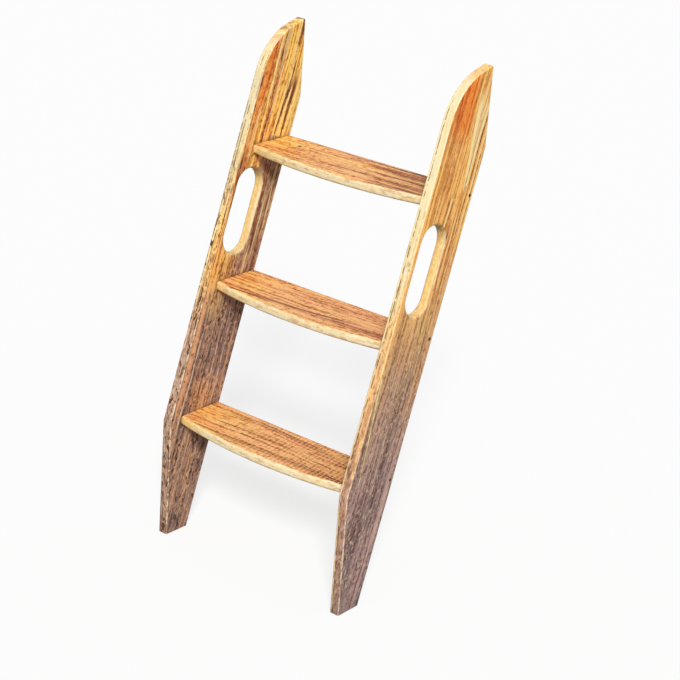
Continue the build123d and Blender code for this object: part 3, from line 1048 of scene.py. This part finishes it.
class LADDER_OT_make_stiles(bpy.types.Operator):
    """Make both stiles as worn planks with hand slots and housings"""

    bl_idname = "ladder.make_stiles"
    bl_label = "Stiles"

    def execute(self, context):
        scene = context.scene
        stile, tread, wear = scene.ladder_stile, scene.ladder_tread, scene.ladder_wear
        plank = Plank(stile, tread)
        thickness = plank.thickness - wear.plug_rise
        patches = stile_patches(plank, stile, tread, thickness)
        for seed, (side, sign) in enumerate(SIDES.items(), start=STILE_SEED):
            turned = [(grid * [sign, 1, 1], fields) for grid, fields in patches]
            mesh = joined_mesh(f"worn_stile_{side}", turned)
            x, y, z = read(mesh.vertices, "co", 3).T
            along = y * plank.sin + z * plank.cos
            across = y * plank.cos - z * plank.sin - plank.mid_across
            inside = np.abs(x) - plank.inner
            reached = np.clip((z - wear.rub_from) / (wear.rub_to - wear.rub_from), 0, 1)
            store(mesh, "rub", "FLOAT", read(mesh.attributes["rub"].data, "value", 1) * reached)
            # Painted shade and dirt in the slots and next to the treads
            slot_shade_and_grime = read(mesh.attributes["grime_and_shade"].data, "value", 1)
            store(mesh, "grime_and_shade", "FLOAT", np.maximum(slot_shade_and_grime, corner_grime_and_shade(plank, inside, y, z)))
            weather(mesh, wear, along, across, inside - thickness / 2, seed, STILE_DRIFT)
            wood = stile_wood(scene.ladder_wood, side, seed)
            place_piece(f"worn_stile_{side}", mesh, wood, "stile_wood", f"stile_{side}")
        return {"FINISHED"}


def tread_grid(plank, tread, top):
    """A tread as its cross section carried along X, drawn in to a point inside each end.

    At mid span the section is a level plank with a rounded nose and a back edge that leans with
    the stiles. At x, a point of the nose that lies d behind it moves back to
    c - sqrt((r - d)^2 - x^2), with r the radius of the bow and c its centre, and the flat faces
    are stretched from there to the back.
    """
    bottom = top - TREAD_THICKNESS
    bow_radius = (plank.inner**2 + tread.bow**2) / (2 * tread.bow)
    nose = plank.nose(top) - tread.bow
    section = np.array([
        (nose, bottom), (plank.back_edge(bottom), bottom), (plank.back_edge(top), top), (nose, top)
    ])
    radii = [tread.nose_radius, tread.back_radius, tread.back_radius, tread.nose_radius]
    knots, _ = rounded_corners(section, radii, tread.nose_radius / ARC_STEPS)
    knots = np.concatenate([knots, knots[:1]])
    lengths = np.concatenate([[0], np.cumsum(np.linalg.norm(np.diff(knots, axis=0), axis=1))])
    places = even_steps(lengths, ACROSS_STEP)
    y, z = (np.interp(places, lengths, knots[:, axis]) for axis in (0, 1))

    x = even_steps(np.array([-TREAD_HALF_LENGTH, 0, TREAD_HALF_LENGTH]), ALONG_STEP)
    size = np.concatenate([DRAWN_IN, np.ones(len(x)), DRAWN_IN[::-1]])[:, None]
    x = np.concatenate([np.full(len(DRAWN_IN), x[0]), x, np.full(len(DRAWN_IN), x[-1])])[:, None]
    behind = np.minimum(y - nose, tread.nose_radius)
    bowed = nose + bow_radius - np.sqrt((bow_radius - behind) ** 2 - x**2)
    held = plank.back_edge(bottom) - BACK_HELD * tread.back_radius
    stretch = np.clip((y - nose - tread.nose_radius) / (held - nose - tread.nose_radius), 0, 1)
    level = np.where(y >= held, y, bowed + stretch * (held - bowed))
    mid_y, mid_z = level.mean(axis=1, keepdims=True), (top + bottom) / 2
    drawn = (x, mid_y + size * (level - mid_y), mid_z + size * (z - mid_z))
    return np.stack(np.broadcast_arrays(*drawn), axis=-1), behind


class LADDER_OT_make_treads(bpy.types.Operator):
    """Make the treads as bowed planks that feet have worn hollow"""

    bl_idname = "ladder.make_treads"
    bl_label = "Treads"

    def execute(self, context):
        scene = context.scene
        stile, tread, wear = scene.ladder_stile, scene.ladder_tread, scene.ladder_wear
        plank = Plank(stile, tread)
        for seed, (name, top) in enumerate(zip(TREADS, TREAD_TOPS), start=TREAD_SEED):
            grid, behind = tread_grid(plank, tread, top)
            edge = 1 - behind / tread.nose_radius
            mesh = joined_mesh(f"worn_tread_{name}", [(grid, {"edge": edge, "rub": edge})])
            x, y, z = read(mesh.vertices, "co", 3).T
            across = y - plank.nose(top) - TREAD_MIDDLE
            upper = np.clip((z - top) / tread.nose_radius + 1, 0, 1)
            reach_x, reach_y = HOLLOW_REACH
            hollow = wear.hollow * upper * np.exp(-((x / reach_x) ** 2) - (across / reach_y) ** 2)
            to_back = plank.back_edge(z) - y
            # Darker along the back edge
            store(mesh, "grime_and_shade", "FLOAT", np.clip(1 - to_back / GRIME_AND_SHADE_REACH, 0, 1))
            weather(mesh, wear, x, across, z - top, seed, TREAD_DRIFT, extra=hollow)
            wood = tread_wood(scene.ladder_wood, name, seed)
            place_piece(f"worn_tread_{name}", mesh, wood, "tread_wood", f"tread_{name}")
        return {"FINISHED"}


def turned_plug(radius, height):
    """A plug's turned profile: radius and height from the middle of one end to that of the other.

    The outer end is a low dome with an eased rim, and the inner end is chamfered to start the plug.
    """
    crown = np.array(PLUG_CROWN)
    eased, foot = -PLUG_DOME - PLUG_EASE, PLUG_CHAMFER - height
    radii = [*(crown * radius), radius - PLUG_EASE, radius, radius, radius - PLUG_CHAMFER, 0]
    heights = [*(-PLUG_DOME * crown**2), -PLUG_DOME, eased, foot, -height, -height]
    return np.array(radii), np.array(heights)


class LADDER_OT_make_plugs(bpy.types.Operator):
    """Make the wood plugs over the screw heads"""

    bl_idname = "ladder.make_plugs"
    bl_label = "Plugs"

    def execute(self, context):
        colours = context.scene.ladder_wood
        woods = {"front": matched_plug_wood(colours), "back": dark_plug_wood(colours)}
        turn = np.linspace(0, 2 * pi, PLUG_STEPS, endpoint=False)[:, None]
        names = [(side, tread, place) for side in SIDES for tread in TREADS for place in PLACES]
        for side, tread, place in names:
            node = f"plug_{side}_{tread}_{place}"
            low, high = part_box(node)
            middle = (low + high) / 2
            radii, heights = turned_plug((high.z - low.z) / 2, high.x - low.x)
            outer = max(low.x, high.x, key=abs)
            x = outer + SIDES[side] * heights
            y = middle.y + radii * np.cos(turn)
            z = middle.z + radii * np.sin(turn)
            grid = np.stack(np.broadcast_arrays(x, y, z), axis=-1)
            rim = np.broadcast_to(radii / radii.max(), grid.shape[:2])
            mesh = joined_mesh(f"end_{node}", [closed(grid, {"edge": rim})])
            mesh.set_sharp_from_angle(angle=SHARP_ANGLE)
            place_piece(mesh.name, mesh, woods[place], "plug_wood", node)
        return {"FINISHED"}


class LADDER_OT_finish_screws(bpy.types.Operator):
    """Give the screws their plain steel"""

    bl_idname = "ladder.finish_screws"
    bl_label = "Screws"

    def execute(self, context):
        steel = screw_steel(context.scene.ladder_wood)
        for name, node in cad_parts.items():
            if name.startswith("screw_"):
                for slot in node.material_slots:
                    slot.material = steel
        return {"FINISHED"}


def feed(tree, node, sockets):
    """Links or sets a node's input sockets."""
    for key, value in sockets.items():
        if isinstance(value, bpy.types.NodeSocket):
            tree.links.new(value, node.inputs[key])
        else:
            node.inputs[key].default_value = value


def put(tree, kind, sockets=None, **settings):
    """Adds a node with its settings, and links or sets its input sockets."""
    node = tree.nodes.new(kind)
    for name, value in settings.items():
        setattr(node, name, value)
    feed(tree, node, sockets or {})
    return node


def ramp(tree, value, low, high, to_low=0.0, to_high=1.0, shape="SMOOTHSTEP"):
    """Step of a value between low and high, smooth or straight."""
    limits = {"Value": value, "From Min": low, "From Max": high, "To Min": to_low, "To Max": to_high}
    return put(tree, "ShaderNodeMapRange", limits, interpolation_type=shape).outputs["Result"]


def between(tree, mask, at_nought, at_one):
    """A value that goes smoothly from one to the other as a mask goes from nought to one."""
    return ramp(tree, mask, 0, 1, at_nought, at_one)


def sums(tree, operation, first, second=0.0):
    """One arithmetic step."""
    return put(tree, "ShaderNodeMath", {0: first, 1: second}, operation=operation).outputs[0]


def product(tree, *values):
    """All the values multiplied."""
    result = values[0]
    for value in values[1:]:
        result = sums(tree, "MULTIPLY", result, value)
    return result


def blend(tree, share_of_second, first, second, kind="MIX"):
    """Mix of two colours."""
    sockets = {0: share_of_second, 6: rgba(first), 7: rgba(second)}
    return put(tree, "ShaderNodeMix", sockets, data_type="RGBA", blend_type=kind).outputs[2]


def rgba(value):
    """A colour with its alpha, or the socket that it comes from."""
    return value if isinstance(value, bpy.types.NodeSocket) else (*value, 1.0)


def parts(tree, vector):
    """The three parts of a vector."""
    return put(tree, "ShaderNodeSeparateXYZ", {0: vector}).outputs


def object_place(tree):
    """Where a point lies on the ladder."""
    return put(tree, "ShaderNodeTexCoord").outputs["Object"]


def place_on(tree, axis):
    """Where a point lies along one axis of the ladder."""
    return parts(tree, object_place(tree))[axis]


def pattern(tree, vector, given, to_low=0.0, to_high=1.0):
    """A pattern of smooth noise as a mask, or as a value that goes from one limit to the other."""
    scale = [1 / size for size in given.sizes]
    moved = {"Vector": vector, "Location": (given.shift,) * 3, "Scale": scale}
    place = put(tree, "ShaderNodeMapping", moved).outputs[0]
    sockets = {"Vector": place, "Scale": 1.0, "Detail": given.detail, "Roughness": NOISE_ROUGHNESS}
    noise = put(tree, "ShaderNodeTexNoise", sockets).outputs["Fac"]
    return ramp(tree, noise, given.low, given.high, to_low, to_high)


def shared_group(name, inputs, outputs, fill):
    """A shader node group with named sockets, built once. Fill gives what each output shows."""
    group = bpy.data.node_groups.get(name)
    if group is None:
        group = bpy.data.node_groups.new(name, "ShaderNodeTree")
        for sockets, way in ((inputs, "INPUT"), (outputs, "OUTPUT")):
            for socket, kind in sockets.items():
                group.interface.new_socket(name=socket, in_out=way, socket_type=kind)
        start, end = group.nodes.new("NodeGroupInput"), group.nodes.new("NodeGroupOutput")
        feed(group, end, fill(group, start.outputs))
    return group


def wood_figure():
    """Figure of a plank as masks, one for each pattern.

    They are wide bands, fine stripes, dark and pale lines, dashes that break a line, dark and pale
    flecks, beads along a stripe, wide patches, the border of a rubbed edge and scars.
    """

    def fill(group, given):
        return {name: pattern(group, given["Grain"], kind) for name, kind in PATTERNS.items()}

    masks = dict.fromkeys(PATTERNS, "NodeSocketFloat")
    return shared_group("wood_figure", {"Grain": "NodeSocketVector"}, masks, fill)


def streak_mask():
    """A streak along a plank as a mask.

    Its half width is its width times a power of the way from its start to its end, the taper, its
    middle line leans by its slope, and its border is ragged.
    """

    def fill(group, given):
        along, ring, depth = parts(group, given["Grain"])
        grown = ramp(group, along, given["Start"], given["End"], shape="LINEAR")
        half = product(group, given["Width"], sums(group, "POWER", grown, given["Taper"]))
        lean = product(group, given["Slope"], sums(group, "SUBTRACT", along, given["Start"]))
        ragged = pattern(group, given["Grain"], STREAK_BORDER, -STREAK_RAG, STREAK_RAG)
        middle = sums(group, "ADD", given["Place"], lean)
        off = sums(group, "ABSOLUTE", sums(group, "SUBTRACT", sums(group, "ADD", ring, ragged), middle))
        off = sums(group, "DIVIDE", off, sums(group, "MAXIMUM", half, LEAST_WIDTH))
        body = ramp(group, off, 1.0, sums(group, "SUBTRACT", 1.0, given["Soft"]))
        gaps = product(group, pattern(group, given["Grain"], STREAK_GAPS), given["Breaks"])
        whole = sums(group, "SUBTRACT", 1.0, gaps)
        outer = product(group, ramp(group, depth, *OUTER_HALF), given["Inside"])
        kept = product(group, given["Strength"], sums(group, "SUBTRACT", 1.0, outer))
        return {"Mask": product(group, body, ramp(group, grown, *STREAK_FADES), whole, kept)}

    numbers = [field.capitalize() for field in Streak._fields[1:]]
    inputs = {"Grain": "NodeSocketVector", **dict.fromkeys(numbers, "NodeSocketFloat")}
    return shared_group("streak_mask", inputs, {"Mask": "NodeSocketFloat"}, fill)


def empty_tree(holder):
    """The node tree of a new material or world, with no nodes yet."""
    holder.use_nodes = True
    holder.node_tree.nodes.clear()
    return holder.node_tree


def new_material(name):
    """A material with its shader."""
    material = bpy.data.materials.new(name)
    tree = empty_tree(material)
    shader = put(tree, "ShaderNodeBsdfPrincipled", {"Specular IOR Level": SHEEN})
    put(tree, "ShaderNodeOutputMaterial", {"Surface": shader.outputs[0]})
    return material, tree, shader


def attribute(tree, name, output="Fac"):
    """A piece's own attribute."""
    return put(tree, "ShaderNodeAttribute", attribute_name=name).outputs[output]


def plank_figure(tree, seed):
    """A plank's grain, and the masks of its figure, moved by the seed so that no two planks match."""
    grain = attribute(tree, "grain", "Vector")
    shift = (SEED_SHIFT * seed, SEED_SHIFT * seed, 0)
    moved = put(tree, "ShaderNodeVectorMath", {0: grain, 1: shift}, operation="ADD").outputs[0]
    return grain, put(tree, "ShaderNodeGroup", {"Grain": moved}, node_tree=wood_figure()).outputs


def add_streaks(tree, base, grain, wood, streaks):
    """Lays a plank's own streaks over its base colour. Dark ones fade through russet at their borders."""
    for streak in streaks:
        given = {name.capitalize(): value for name, value in streak._asdict().items() if name != "tint"}
        group = put(tree, "ShaderNodeGroup", {"Grain": grain, **given}, node_tree=streak_mask())
        mask = group.outputs["Mask"]
        if streak.tint == "dark":
            base = blend(tree, sums(tree, "POWER", mask, DARK_BORDER), base, wood.russet)
            mask = sums(tree, "POWER", mask, DARK_CORE)
        base = blend(tree, mask, base, getattr(wood, streak.tint))
    return base


def add_figure(tree, base, figure, line_tint, row_tint, pale_tint, row, unbroken, fleck, pale, line, spark):
    """Lays the figure's rows of beads, pores and lines over a base colour, each as strong as given.

    Unbroken is the strength of a row between its beads, as a share of that on them.
    """
    rows = between(tree, figure["Stripe"], 1, 0)
    beads = between(tree, figure["Bead"], unbroken, 1)
    base = blend(tree, product(tree, rows, beads, row), base, row_tint, kind="MULTIPLY")
    base = blend(tree, product(tree, figure["Fleck"], fleck), base, row_tint, kind="MULTIPLY")
    base = blend(tree, product(tree, figure["Line"], figure["Dash"], line), base, line_tint)
    base = blend(tree, product(tree, figure["Pale"], pale), base, pale_tint)
    return blend(tree, product(tree, figure["Spark"], spark), base, pale_tint)


def patchy(tree, value, figure):
    """A place along the ladder, moved to and fro by wide patches."""
    moved = ramp(tree, figure["Patch"], 0, 1, -PATCHINESS, PATCHINESS, shape="LINEAR")
    return sums(tree, "ADD", value, moved)


def rub_edges(tree, base, figure, wood, strength, paleness=1.0):
    """Turns rubbed edges pale, with a ragged border, straw-coloured streaks and the rows showing through."""
    ragged = ramp(tree, figure["Rub"], 0, 1, -RUB_RAGGED, RUB_RAGGED, shape="LINEAR")
    rubbed = ramp(tree, sums(tree, "ADD", attribute(tree, "rub"), ragged), *RUB_BORDER)
    pale = product(tree, between(tree, figure["Stripe"], *RUB_PALENESS), paleness)
    pale = blend(tree, pale, wood.straw, wood.rubbed)
    shown = between(tree, figure["Bead"], *RUB_SHOWN)
    return blend(tree, product(tree, rubbed, shown, strength), base, pale)


def finish_surface(tree, shader, base, low, roughness, bump):
    """Colour, roughness and bump of a surface. Its low places have the second roughness."""
    raised = put(tree, "ShaderNodeBump", {"Height": between(tree, low, 1, 0), **bump})
    rough = between(tree, low, *roughness)
    feed(tree, shader, {"Base Color": base, "Roughness": rough, "Normal": raised.outputs["Normal"]})


def finish_wood(tree, shader, base, figure):
    """Oiled wood, whose dark marks are duller and lower than the rest."""
    low = sums(tree, "MAXIMUM", figure["Line"], product(tree, figure["Fleck"], FLECK_DEPTH))
    finish_surface(tree, shader, base, low, WOOD_ROUGHNESS, WOOD_BUMP)


def stile_wood(wood, side, seed):
    """Golden and orange plank with its own zones and streaks, browner towards the feet."""
    finish = STILE_FINISHES[side]
    material, tree, shader = new_material(f"stile_plank_wood_{side}")
    grain, figure = plank_figure(tree, seed)
    height = place_on(tree, "Z")
    low_down = ramp(tree, patchy(tree, height, figure), *finish.brown_below)
    base = blend(tree, between(tree, figure["Band"], *finish.heartwood), wood.golden, wood.orange)
    # Darker and browner towards the feet; on the left stile partly painted shade below the middle tread
    base = blend(tree, product(tree, low_down, DARKENING_BELOW), base, getattr(wood, finish.weathered))
    base = add_streaks(tree, base, grain, wood, ZONES[side])
    row_tint = blend(tree, low_down, wood.burnt, wood.shaded)
    pale_tint = blend(tree, low_down, wood.cream, getattr(wood, finish.pale_below))
    marks = {name: between(tree, low_down, *strengths) for name, strengths in finish.marks.items()}
    base = add_figure(tree, base, figure, wood.dark, row_tint, pale_tint, **marks)
    face = add_streaks(tree, base, grain, wood, STREAKS[side])
    base = cut_edges(tree, face, figure, wood, low_down, finish)
    base = slot_wood(tree, base, figure, wood)
    base = front_edge_strips(tree, base, face, grain, figure, wood, finish)
    # Painted highlight, with some wear, along the front arrises
    base = arris_highlight_and_wear(tree, base, grain, figure, wood, low_down)
    # Darkens with dirt and painted shade next to the treads and at the tops of the slots
    base = blend(tree, product(tree, attribute(tree, "grime_and_shade"), STILE_GRIME_AND_SHADE), base, wood.grime_and_shade)
    base = blend(tree, ramp(tree, height, *FOOT_STAIN), base, wood.slate)
    finish_wood(tree, shader, base, figure)
    return material


def cut_edges(tree, face, figure, wood, low_down, finish):
    """Lays a stile's cut edges: rubbed above, bleached below, and more like the face at the tip."""
    height = place_on(tree, "Z")
    cut = blend(tree, low_down, wood.cream, getattr(wood, finish.cut_below))
    strength = between(tree, low_down, *finish.cut_edge)
    shown = product(tree, attribute(tree, "edge"), strength, ramp(tree, height, *TOE_EDGE))
    base = rub_edges(tree, blend(tree, shown, face, cut), figure, wood, finish.rubbed)
    return blend(tree, ramp(tree, height, *finish.bare_tip), base, face)


def slot_wood(tree, base, figure, wood):
    """Lays straw-coloured wood with dark beads on the walls of the hand slots."""
    wall = attribute(tree, "wall")
    base = blend(tree, product(tree, wall, SLOT_WALL), base, wood.straw)
    beads = product(tree, wall, figure["Bead"], SLOT_WALL_BEADS)
    return blend(tree, beads, base, wood.burnt, kind="MULTIPLY")


def along_front(tree, grain, rings, behind_toe):
    """One along a stile's front edge and its upright toe, between the limits given for each."""
    toe = sums(tree, "SUBTRACT", place_on(tree, "Y"), STILE_LOW.y)
    return sums(tree, "MAXIMUM", ramp(tree, parts(tree, grain)[1], *rings), ramp(tree, toe, *behind_toe))


def front_edge_strips(tree, base, face, grain, figure, wood, finish):
    """Lays strips, scars and broken dark lines along a stile's front edge.

    Beyond the first line, away from the middle of the edge, the wood has another tint. The half of
    the edge towards the inner face may keep that face's colour lower down.
    """
    depth, height = parts(tree, grain)[2], place_on(tree, "Z")
    flat = ramp(tree, attribute(tree, "edge"), *EDGE_FLAT)
    at_front = product(tree, flat, along_front(tree, grain, FRONT_RINGS, TOE_FACE))
    first_line = finish.edge_lines[0]
    beyond = ramp(tree, depth, first_line, first_line + 2 * np.sign(first_line) * EDGE_LINE_WIDTH)
    tint, strength = finish.far_strip
    base = blend(tree, product(tree, beyond, at_front, strength), base, getattr(wood, tint))
    below = ramp(tree, height, *NEAR_STRIP_BELOW, 0, finish.near_strip)
    inner = product(tree, below, ramp(tree, height, *NEAR_STRIP_FADES), ramp(tree, depth, *NEAR_STRIP_DEPTH))
    base = blend(tree, product(tree, inner, at_front), base, face)
    scarred = product(tree, at_front, ramp(tree, height, *SCARRED_BELOW), finish.scars)
    rows = product(tree, between(tree, figure["Stripe"], 1, 0), figure["Bead"], scarred, EDGE_ROWS)
    base = blend(tree, rows, base, wood.shaded, kind="MULTIPLY")
    base = blend(tree, product(tree, figure["Scar"], scarred), base, wood.dark)
    for place in finish.edge_lines:
        off = sums(tree, "ABSOLUTE", sums(tree, "SUBTRACT", depth, place))
        line = ramp(tree, off, EDGE_LINE_WIDTH, EDGE_LINE_WIDTH / 2)
        base = blend(tree, product(tree, line, figure["Dash"], at_front, EDGE_LINE), base, wood.dark)
    return base


def arris_highlight_and_wear(tree, base, grain, figure, wood, low_down):
    """Lays a painted highlight with some wear: a pale, broken line along a stile's front arrises, low down.
    """
    off = sums(tree, "ABSOLUTE", sums(tree, "SUBTRACT", attribute(tree, "edge"), ARRIS_MIDDLE))
    at_front = along_front(tree, grain, ARRIS_RINGS, ARRIS_TOE)
    whole = between(tree, figure["Dash"], *ARRIS_GAPS)
    worn = product(tree, ramp(tree, off, *ARRIS_REACH), at_front, low_down, whole, ARRIS_HIGHLIGHT_AND_WEAR)
    return blend(tree, worn, base, wood.rubbed)


def tread_wood(wood, tread, seed):
    """Golden to tan plank with dark lines along the tread, cross marks of the plane and a pale nose."""
    finish = TREAD_FINISHES[tread]
    material, tree, shader = new_material(f"tread_plank_wood_{tread}")
    grain, figure = plank_figure(tree, seed)
    to_right = patchy(tree, place_on(tree, "X"), figure)
    base = blend(tree, figure["Band"], wood.golden, wood.orange)
    base = blend(tree, ramp(tree, to_right, *TREAD_TAN), base, wood.tan)
    base = blend(tree, ramp(tree, to_right, *TREAD_REDDENS, 0, finish.reddened), base, wood.russet)
    base = add_streaks(tree, base, grain, wood, ZONES[tread])
    base = add_figure(tree, base, figure, wood.dark, wood.burnt, wood.straw, **TREAD_MARKS)
    base = add_streaks(tree, base, grain, wood, STREAKS[tread])
    base = plane_marks(tree, base, grain, figure, wood, finish.plane_marks)
    if finish.pin_knot:
        base = pin_knot(tree, base, grain, wood, finish.pin_knot)
    base = tread_nose(tree, base, figure, wood, to_right)
    # Darker along the back edge
    base = blend(tree, product(tree, attribute(tree, "grime_and_shade"), TREAD_BACK_DARKENING), base, wood.umber)
    finish_wood(tree, shader, base, figure)
    return material


def tread_nose(tree, base, figure, wood, to_right):
    """Lays a tread's rubbed nose, straw-coloured at the left end and paler to the right, with scars."""
    edge = attribute(tree, "edge")
    base = blend(tree, product(tree, edge, NOSE_STRAW), base, wood.straw)
    paleness = ramp(tree, to_right, *NOSE_PALE)
    base = rub_edges(tree, base, figure, wood, between(tree, paleness, *NOSE_RUBBED), paleness)
    return blend(tree, product(tree, figure["Scar"], ramp(tree, edge, *NOSE_SCARS)), base, wood.russet)


def plane_marks(tree, base, grain, figure, wood, strength):
    """Lays pale and dark marks across the grain where the plane chattered, mostly on the right half."""
    along, ring, _ = parts(tree, grain)
    bent = sums(tree, "ADD", along, product(tree, ring, PLANE_MARK_TURN))
    wave = sums(tree, "SINE", product(tree, bent, 2 * pi / PLANE_MARK_SPACING))
    reach = product(tree, ramp(tree, along, *PLANE_MARK_REACH), figure["Bead"], strength)
    pale = product(tree, ramp(tree, wave, *PLANE_MARK_PALE), reach)
    dark = product(tree, ramp(tree, wave, *PLANE_MARK_DARK), reach)
    base = blend(tree, pale, base, wood.straw)
    return blend(tree, dark, base, wood.burnt, kind="MULTIPLY")


def pin_knot(tree, base, grain, wood, place):
    """Lays one small dark knot at its place in the plank."""
    along, ring, _ = parts(tree, grain)
    flat = put(tree, "ShaderNodeCombineXYZ", {0: along, 1: ring}).outputs[0]
    away = put(tree, "ShaderNodeVectorMath", {0: flat, 1: (*place, 0)}, operation="DISTANCE")
    knot = ramp(tree, away.outputs["Value"], PIN_KNOT_RADIUS, PIN_KNOT_RADIUS / 2)
    return blend(tree, knot, base, wood.grime_and_shade)


def dark_plug_wood(wood):
    """Dark end grain with fine pores and a darker glue line round the rim."""
    material, tree, shader = new_material("dark_plug_end_grain")
    finish_plug(tree, shader, wood.plug, wood)
    return material


def matched_plug_wood(wood):
    """End grain chosen to match the plank round it, golden above and brown below."""
    material, tree, shader = new_material("matched_plug_end_grain")
    low_down = ramp(tree, place_on(tree, "Z"), *STILE_FINISHES["right"].brown_below)
    finish_plug(tree, shader, blend(tree, low_down, wood.orange, wood.umber), wood)
    return material


def finish_plug(tree, shader, base, wood):
    """Rings, pores and glue line of a plug's end grain, over a base colour."""
    place = object_place(tree)
    pores = pattern(tree, place, PLUG_PORES)
    rings = product(tree, pattern(tree, place, PLUG_RINGS), PLUG_RING_SHARE)
    base = blend(tree, rings, base, wood.tan)
    base = blend(tree, product(tree, pores, PLUG_PORE_SHARE), base, wood.dark)
    base = blend(tree, ramp(tree, attribute(tree, "edge"), *PLUG_GLUE), base, wood.dark)
    finish_surface(tree, shader, base, pores, PLUG_ROUGHNESS, PLUG_BUMP)


def screw_steel(wood):
    """Plain bright steel with drawn marks and a little tarnish."""
    material, tree, shader = new_material("plain_screw_steel")
    place = object_place(tree)
    dulled = [STEEL_DULLED * part for part in wood.steel]
    base = blend(tree, pattern(tree, place, STEEL_TARNISH), wood.steel, dulled)
    rough = pattern(tree, place, STEEL_MARKS, *STEEL_ROUGHNESS)
    feed(tree, shader, {"Base Color": base, "Roughness": rough, "Metallic": 1.0})
    return material


def seen_directly(tree):
    """One for rays that the camera, a mirror or glass sends, nought for the light between surfaces."""
    path = put(tree, "ShaderNodeLightPath").outputs
    seen = sums(tree, "MAXIMUM", path["Is Camera Ray"], path["Is Glossy Ray"])
    return sums(tree, "MAXIMUM", seen, path["Is Transmission Ray"])


def pale_floor(stage):
    """A plain floor that keeps shadows, part of which is seen as white."""
    material = bpy.data.materials.new("pale_floor")
    tree = empty_tree(material)
    seen = seen_directly(tree)
    tone = blend(tree, seen, stage.floor_bounce, stage.floor_colour)
    lit = put(tree, "ShaderNodeBsdfDiffuse", {"Color": tone})
    white = put(tree, "ShaderNodeEmission", {"Color": (1, 1, 1, 1), "Strength": 1.0})
    part = product(tree, seen, stage.floor_white)
    mix = put(tree, "ShaderNodeMixShader", {0: part, 1: lit.outputs[0], 2: white.outputs[0]})
    put(tree, "ShaderNodeOutputMaterial", {"Surface": mix.outputs[0]})
    return material


def white_sky(stage):
    """Even light from all round, seen as white."""
    world = bpy.data.worlds.new("studio")
    tree = empty_tree(world)
    strength = between(tree, seen_directly(tree), stage.sky, 1.0)
    sky = put(tree, "ShaderNodeBackground", {"Color": (1, 1, 1, 1), "Strength": strength})
    put(tree, "ShaderNodeOutputWorld", {"Surface": sky.outputs[0]})
    return world


def facing(azimuth, elevation):
    """Turn of a camera or lamp that looks along Y, turned by the azimuth, and down by the elevation."""
    return Matrix.Rotation(azimuth, 4, "Z") @ Matrix.Rotation(pi / 2 - elevation, 4, "X")


def set_in_scene(scene, name, data, turn):
    """Puts a lamp, a camera or a mesh in the scene."""
    holder = bpy.data.objects.new(name, data)
    scene.collection.objects.link(holder)
    holder.matrix_world = turn
    return holder


class LADDER_OT_set_stage(bpy.types.Operator):
    """Set the floor, the light and the camera"""

    bl_idname = "ladder.set_stage"
    bl_label = "Stage"

    def execute(self, context):
        scene, stage = context.scene, context.scene.ladder_stage
        scene.view_settings.view_transform = "Standard"
        scene.world = white_sky(stage)

        reach = FLOOR_REACH
        corners = [(-reach, -reach, 0), (reach, -reach, 0), (reach, reach, 0), (-reach, reach, 0)]
        floor_mesh = bpy.data.meshes.new("floor")
        floor_mesh.from_pydata(corners, [], [(0, 1, 2, 3)])
        floor_mesh.materials.append(pale_floor(stage))
        set_in_scene(scene, "floor", floor_mesh, Matrix.Identity(4))

        lamp = bpy.data.lights.new("key", "SUN")
        lamp.energy = stage.key * pi
        lamp.angle = stage.key_softness
        set_in_scene(scene, "key", lamp, facing(stage.key_azimuth, stage.key_elevation))

        camera = bpy.data.cameras.new("camera")
        camera.sensor_width = SENSOR_WIDTH
        camera.lens = stage.lens
        turn = facing(stage.azimuth, stage.elevation) @ Matrix.Rotation(stage.roll, 4, "Z")
        scene.camera = set_in_scene(scene, "camera", camera, Matrix.Translation(stage.camera_place) @ turn)
        return {"FINISHED"}


class LADDER_PT_pieces(bpy.types.Panel):
    """Lists the ladder's pieces and its sizes"""

    bl_idname = "LADDER_PT_pieces"
    bl_label = "Plank ladder"
    bl_space_type = "VIEW_3D"
    bl_region_type = "UI"
    bl_category = "Ladder"

    def draw(self, context):
        for operator in OPERATORS:
            self.layout.operator(operator.bl_idname)
        for name in SETTINGS:
            box = self.layout.box()
            settings = getattr(context.scene, name)
            for field in settings.__annotations__:
                box.prop(settings, field)


OPERATORS = (
    LADDER_OT_make_stiles,
    LADDER_OT_make_treads,
    LADDER_OT_make_plugs,
    LADDER_OT_finish_screws,
    LADDER_OT_set_stage,
)
SETTINGS = {
    "ladder_stile": LadderStile,
    "ladder_tread": LadderTread,
    "ladder_wear": LadderWear,
    "ladder_wood": LadderWood,
    "ladder_stage": LadderStage,
}
CLASSES = (*SETTINGS.values(), *OPERATORS, LADDER_PT_pieces)


def register():
    for item in CLASSES:
        bpy.utils.register_class(item)
    for name, kind in SETTINGS.items():
        setattr(bpy.types.Scene, name, PointerProperty(type=kind))


def unregister():
    for name in SETTINGS:
        delattr(bpy.types.Scene, name)
    for item in reversed(CLASSES):
        bpy.utils.unregister_class(item)


def main():
    register()
    bpy.ops.ladder.make_stiles()
    bpy.ops.ladder.make_treads()
    bpy.ops.ladder.make_plugs()
    bpy.ops.ladder.finish_screws()
    bpy.ops.ladder.set_stage()


if __name__ == "__main__":
    main()
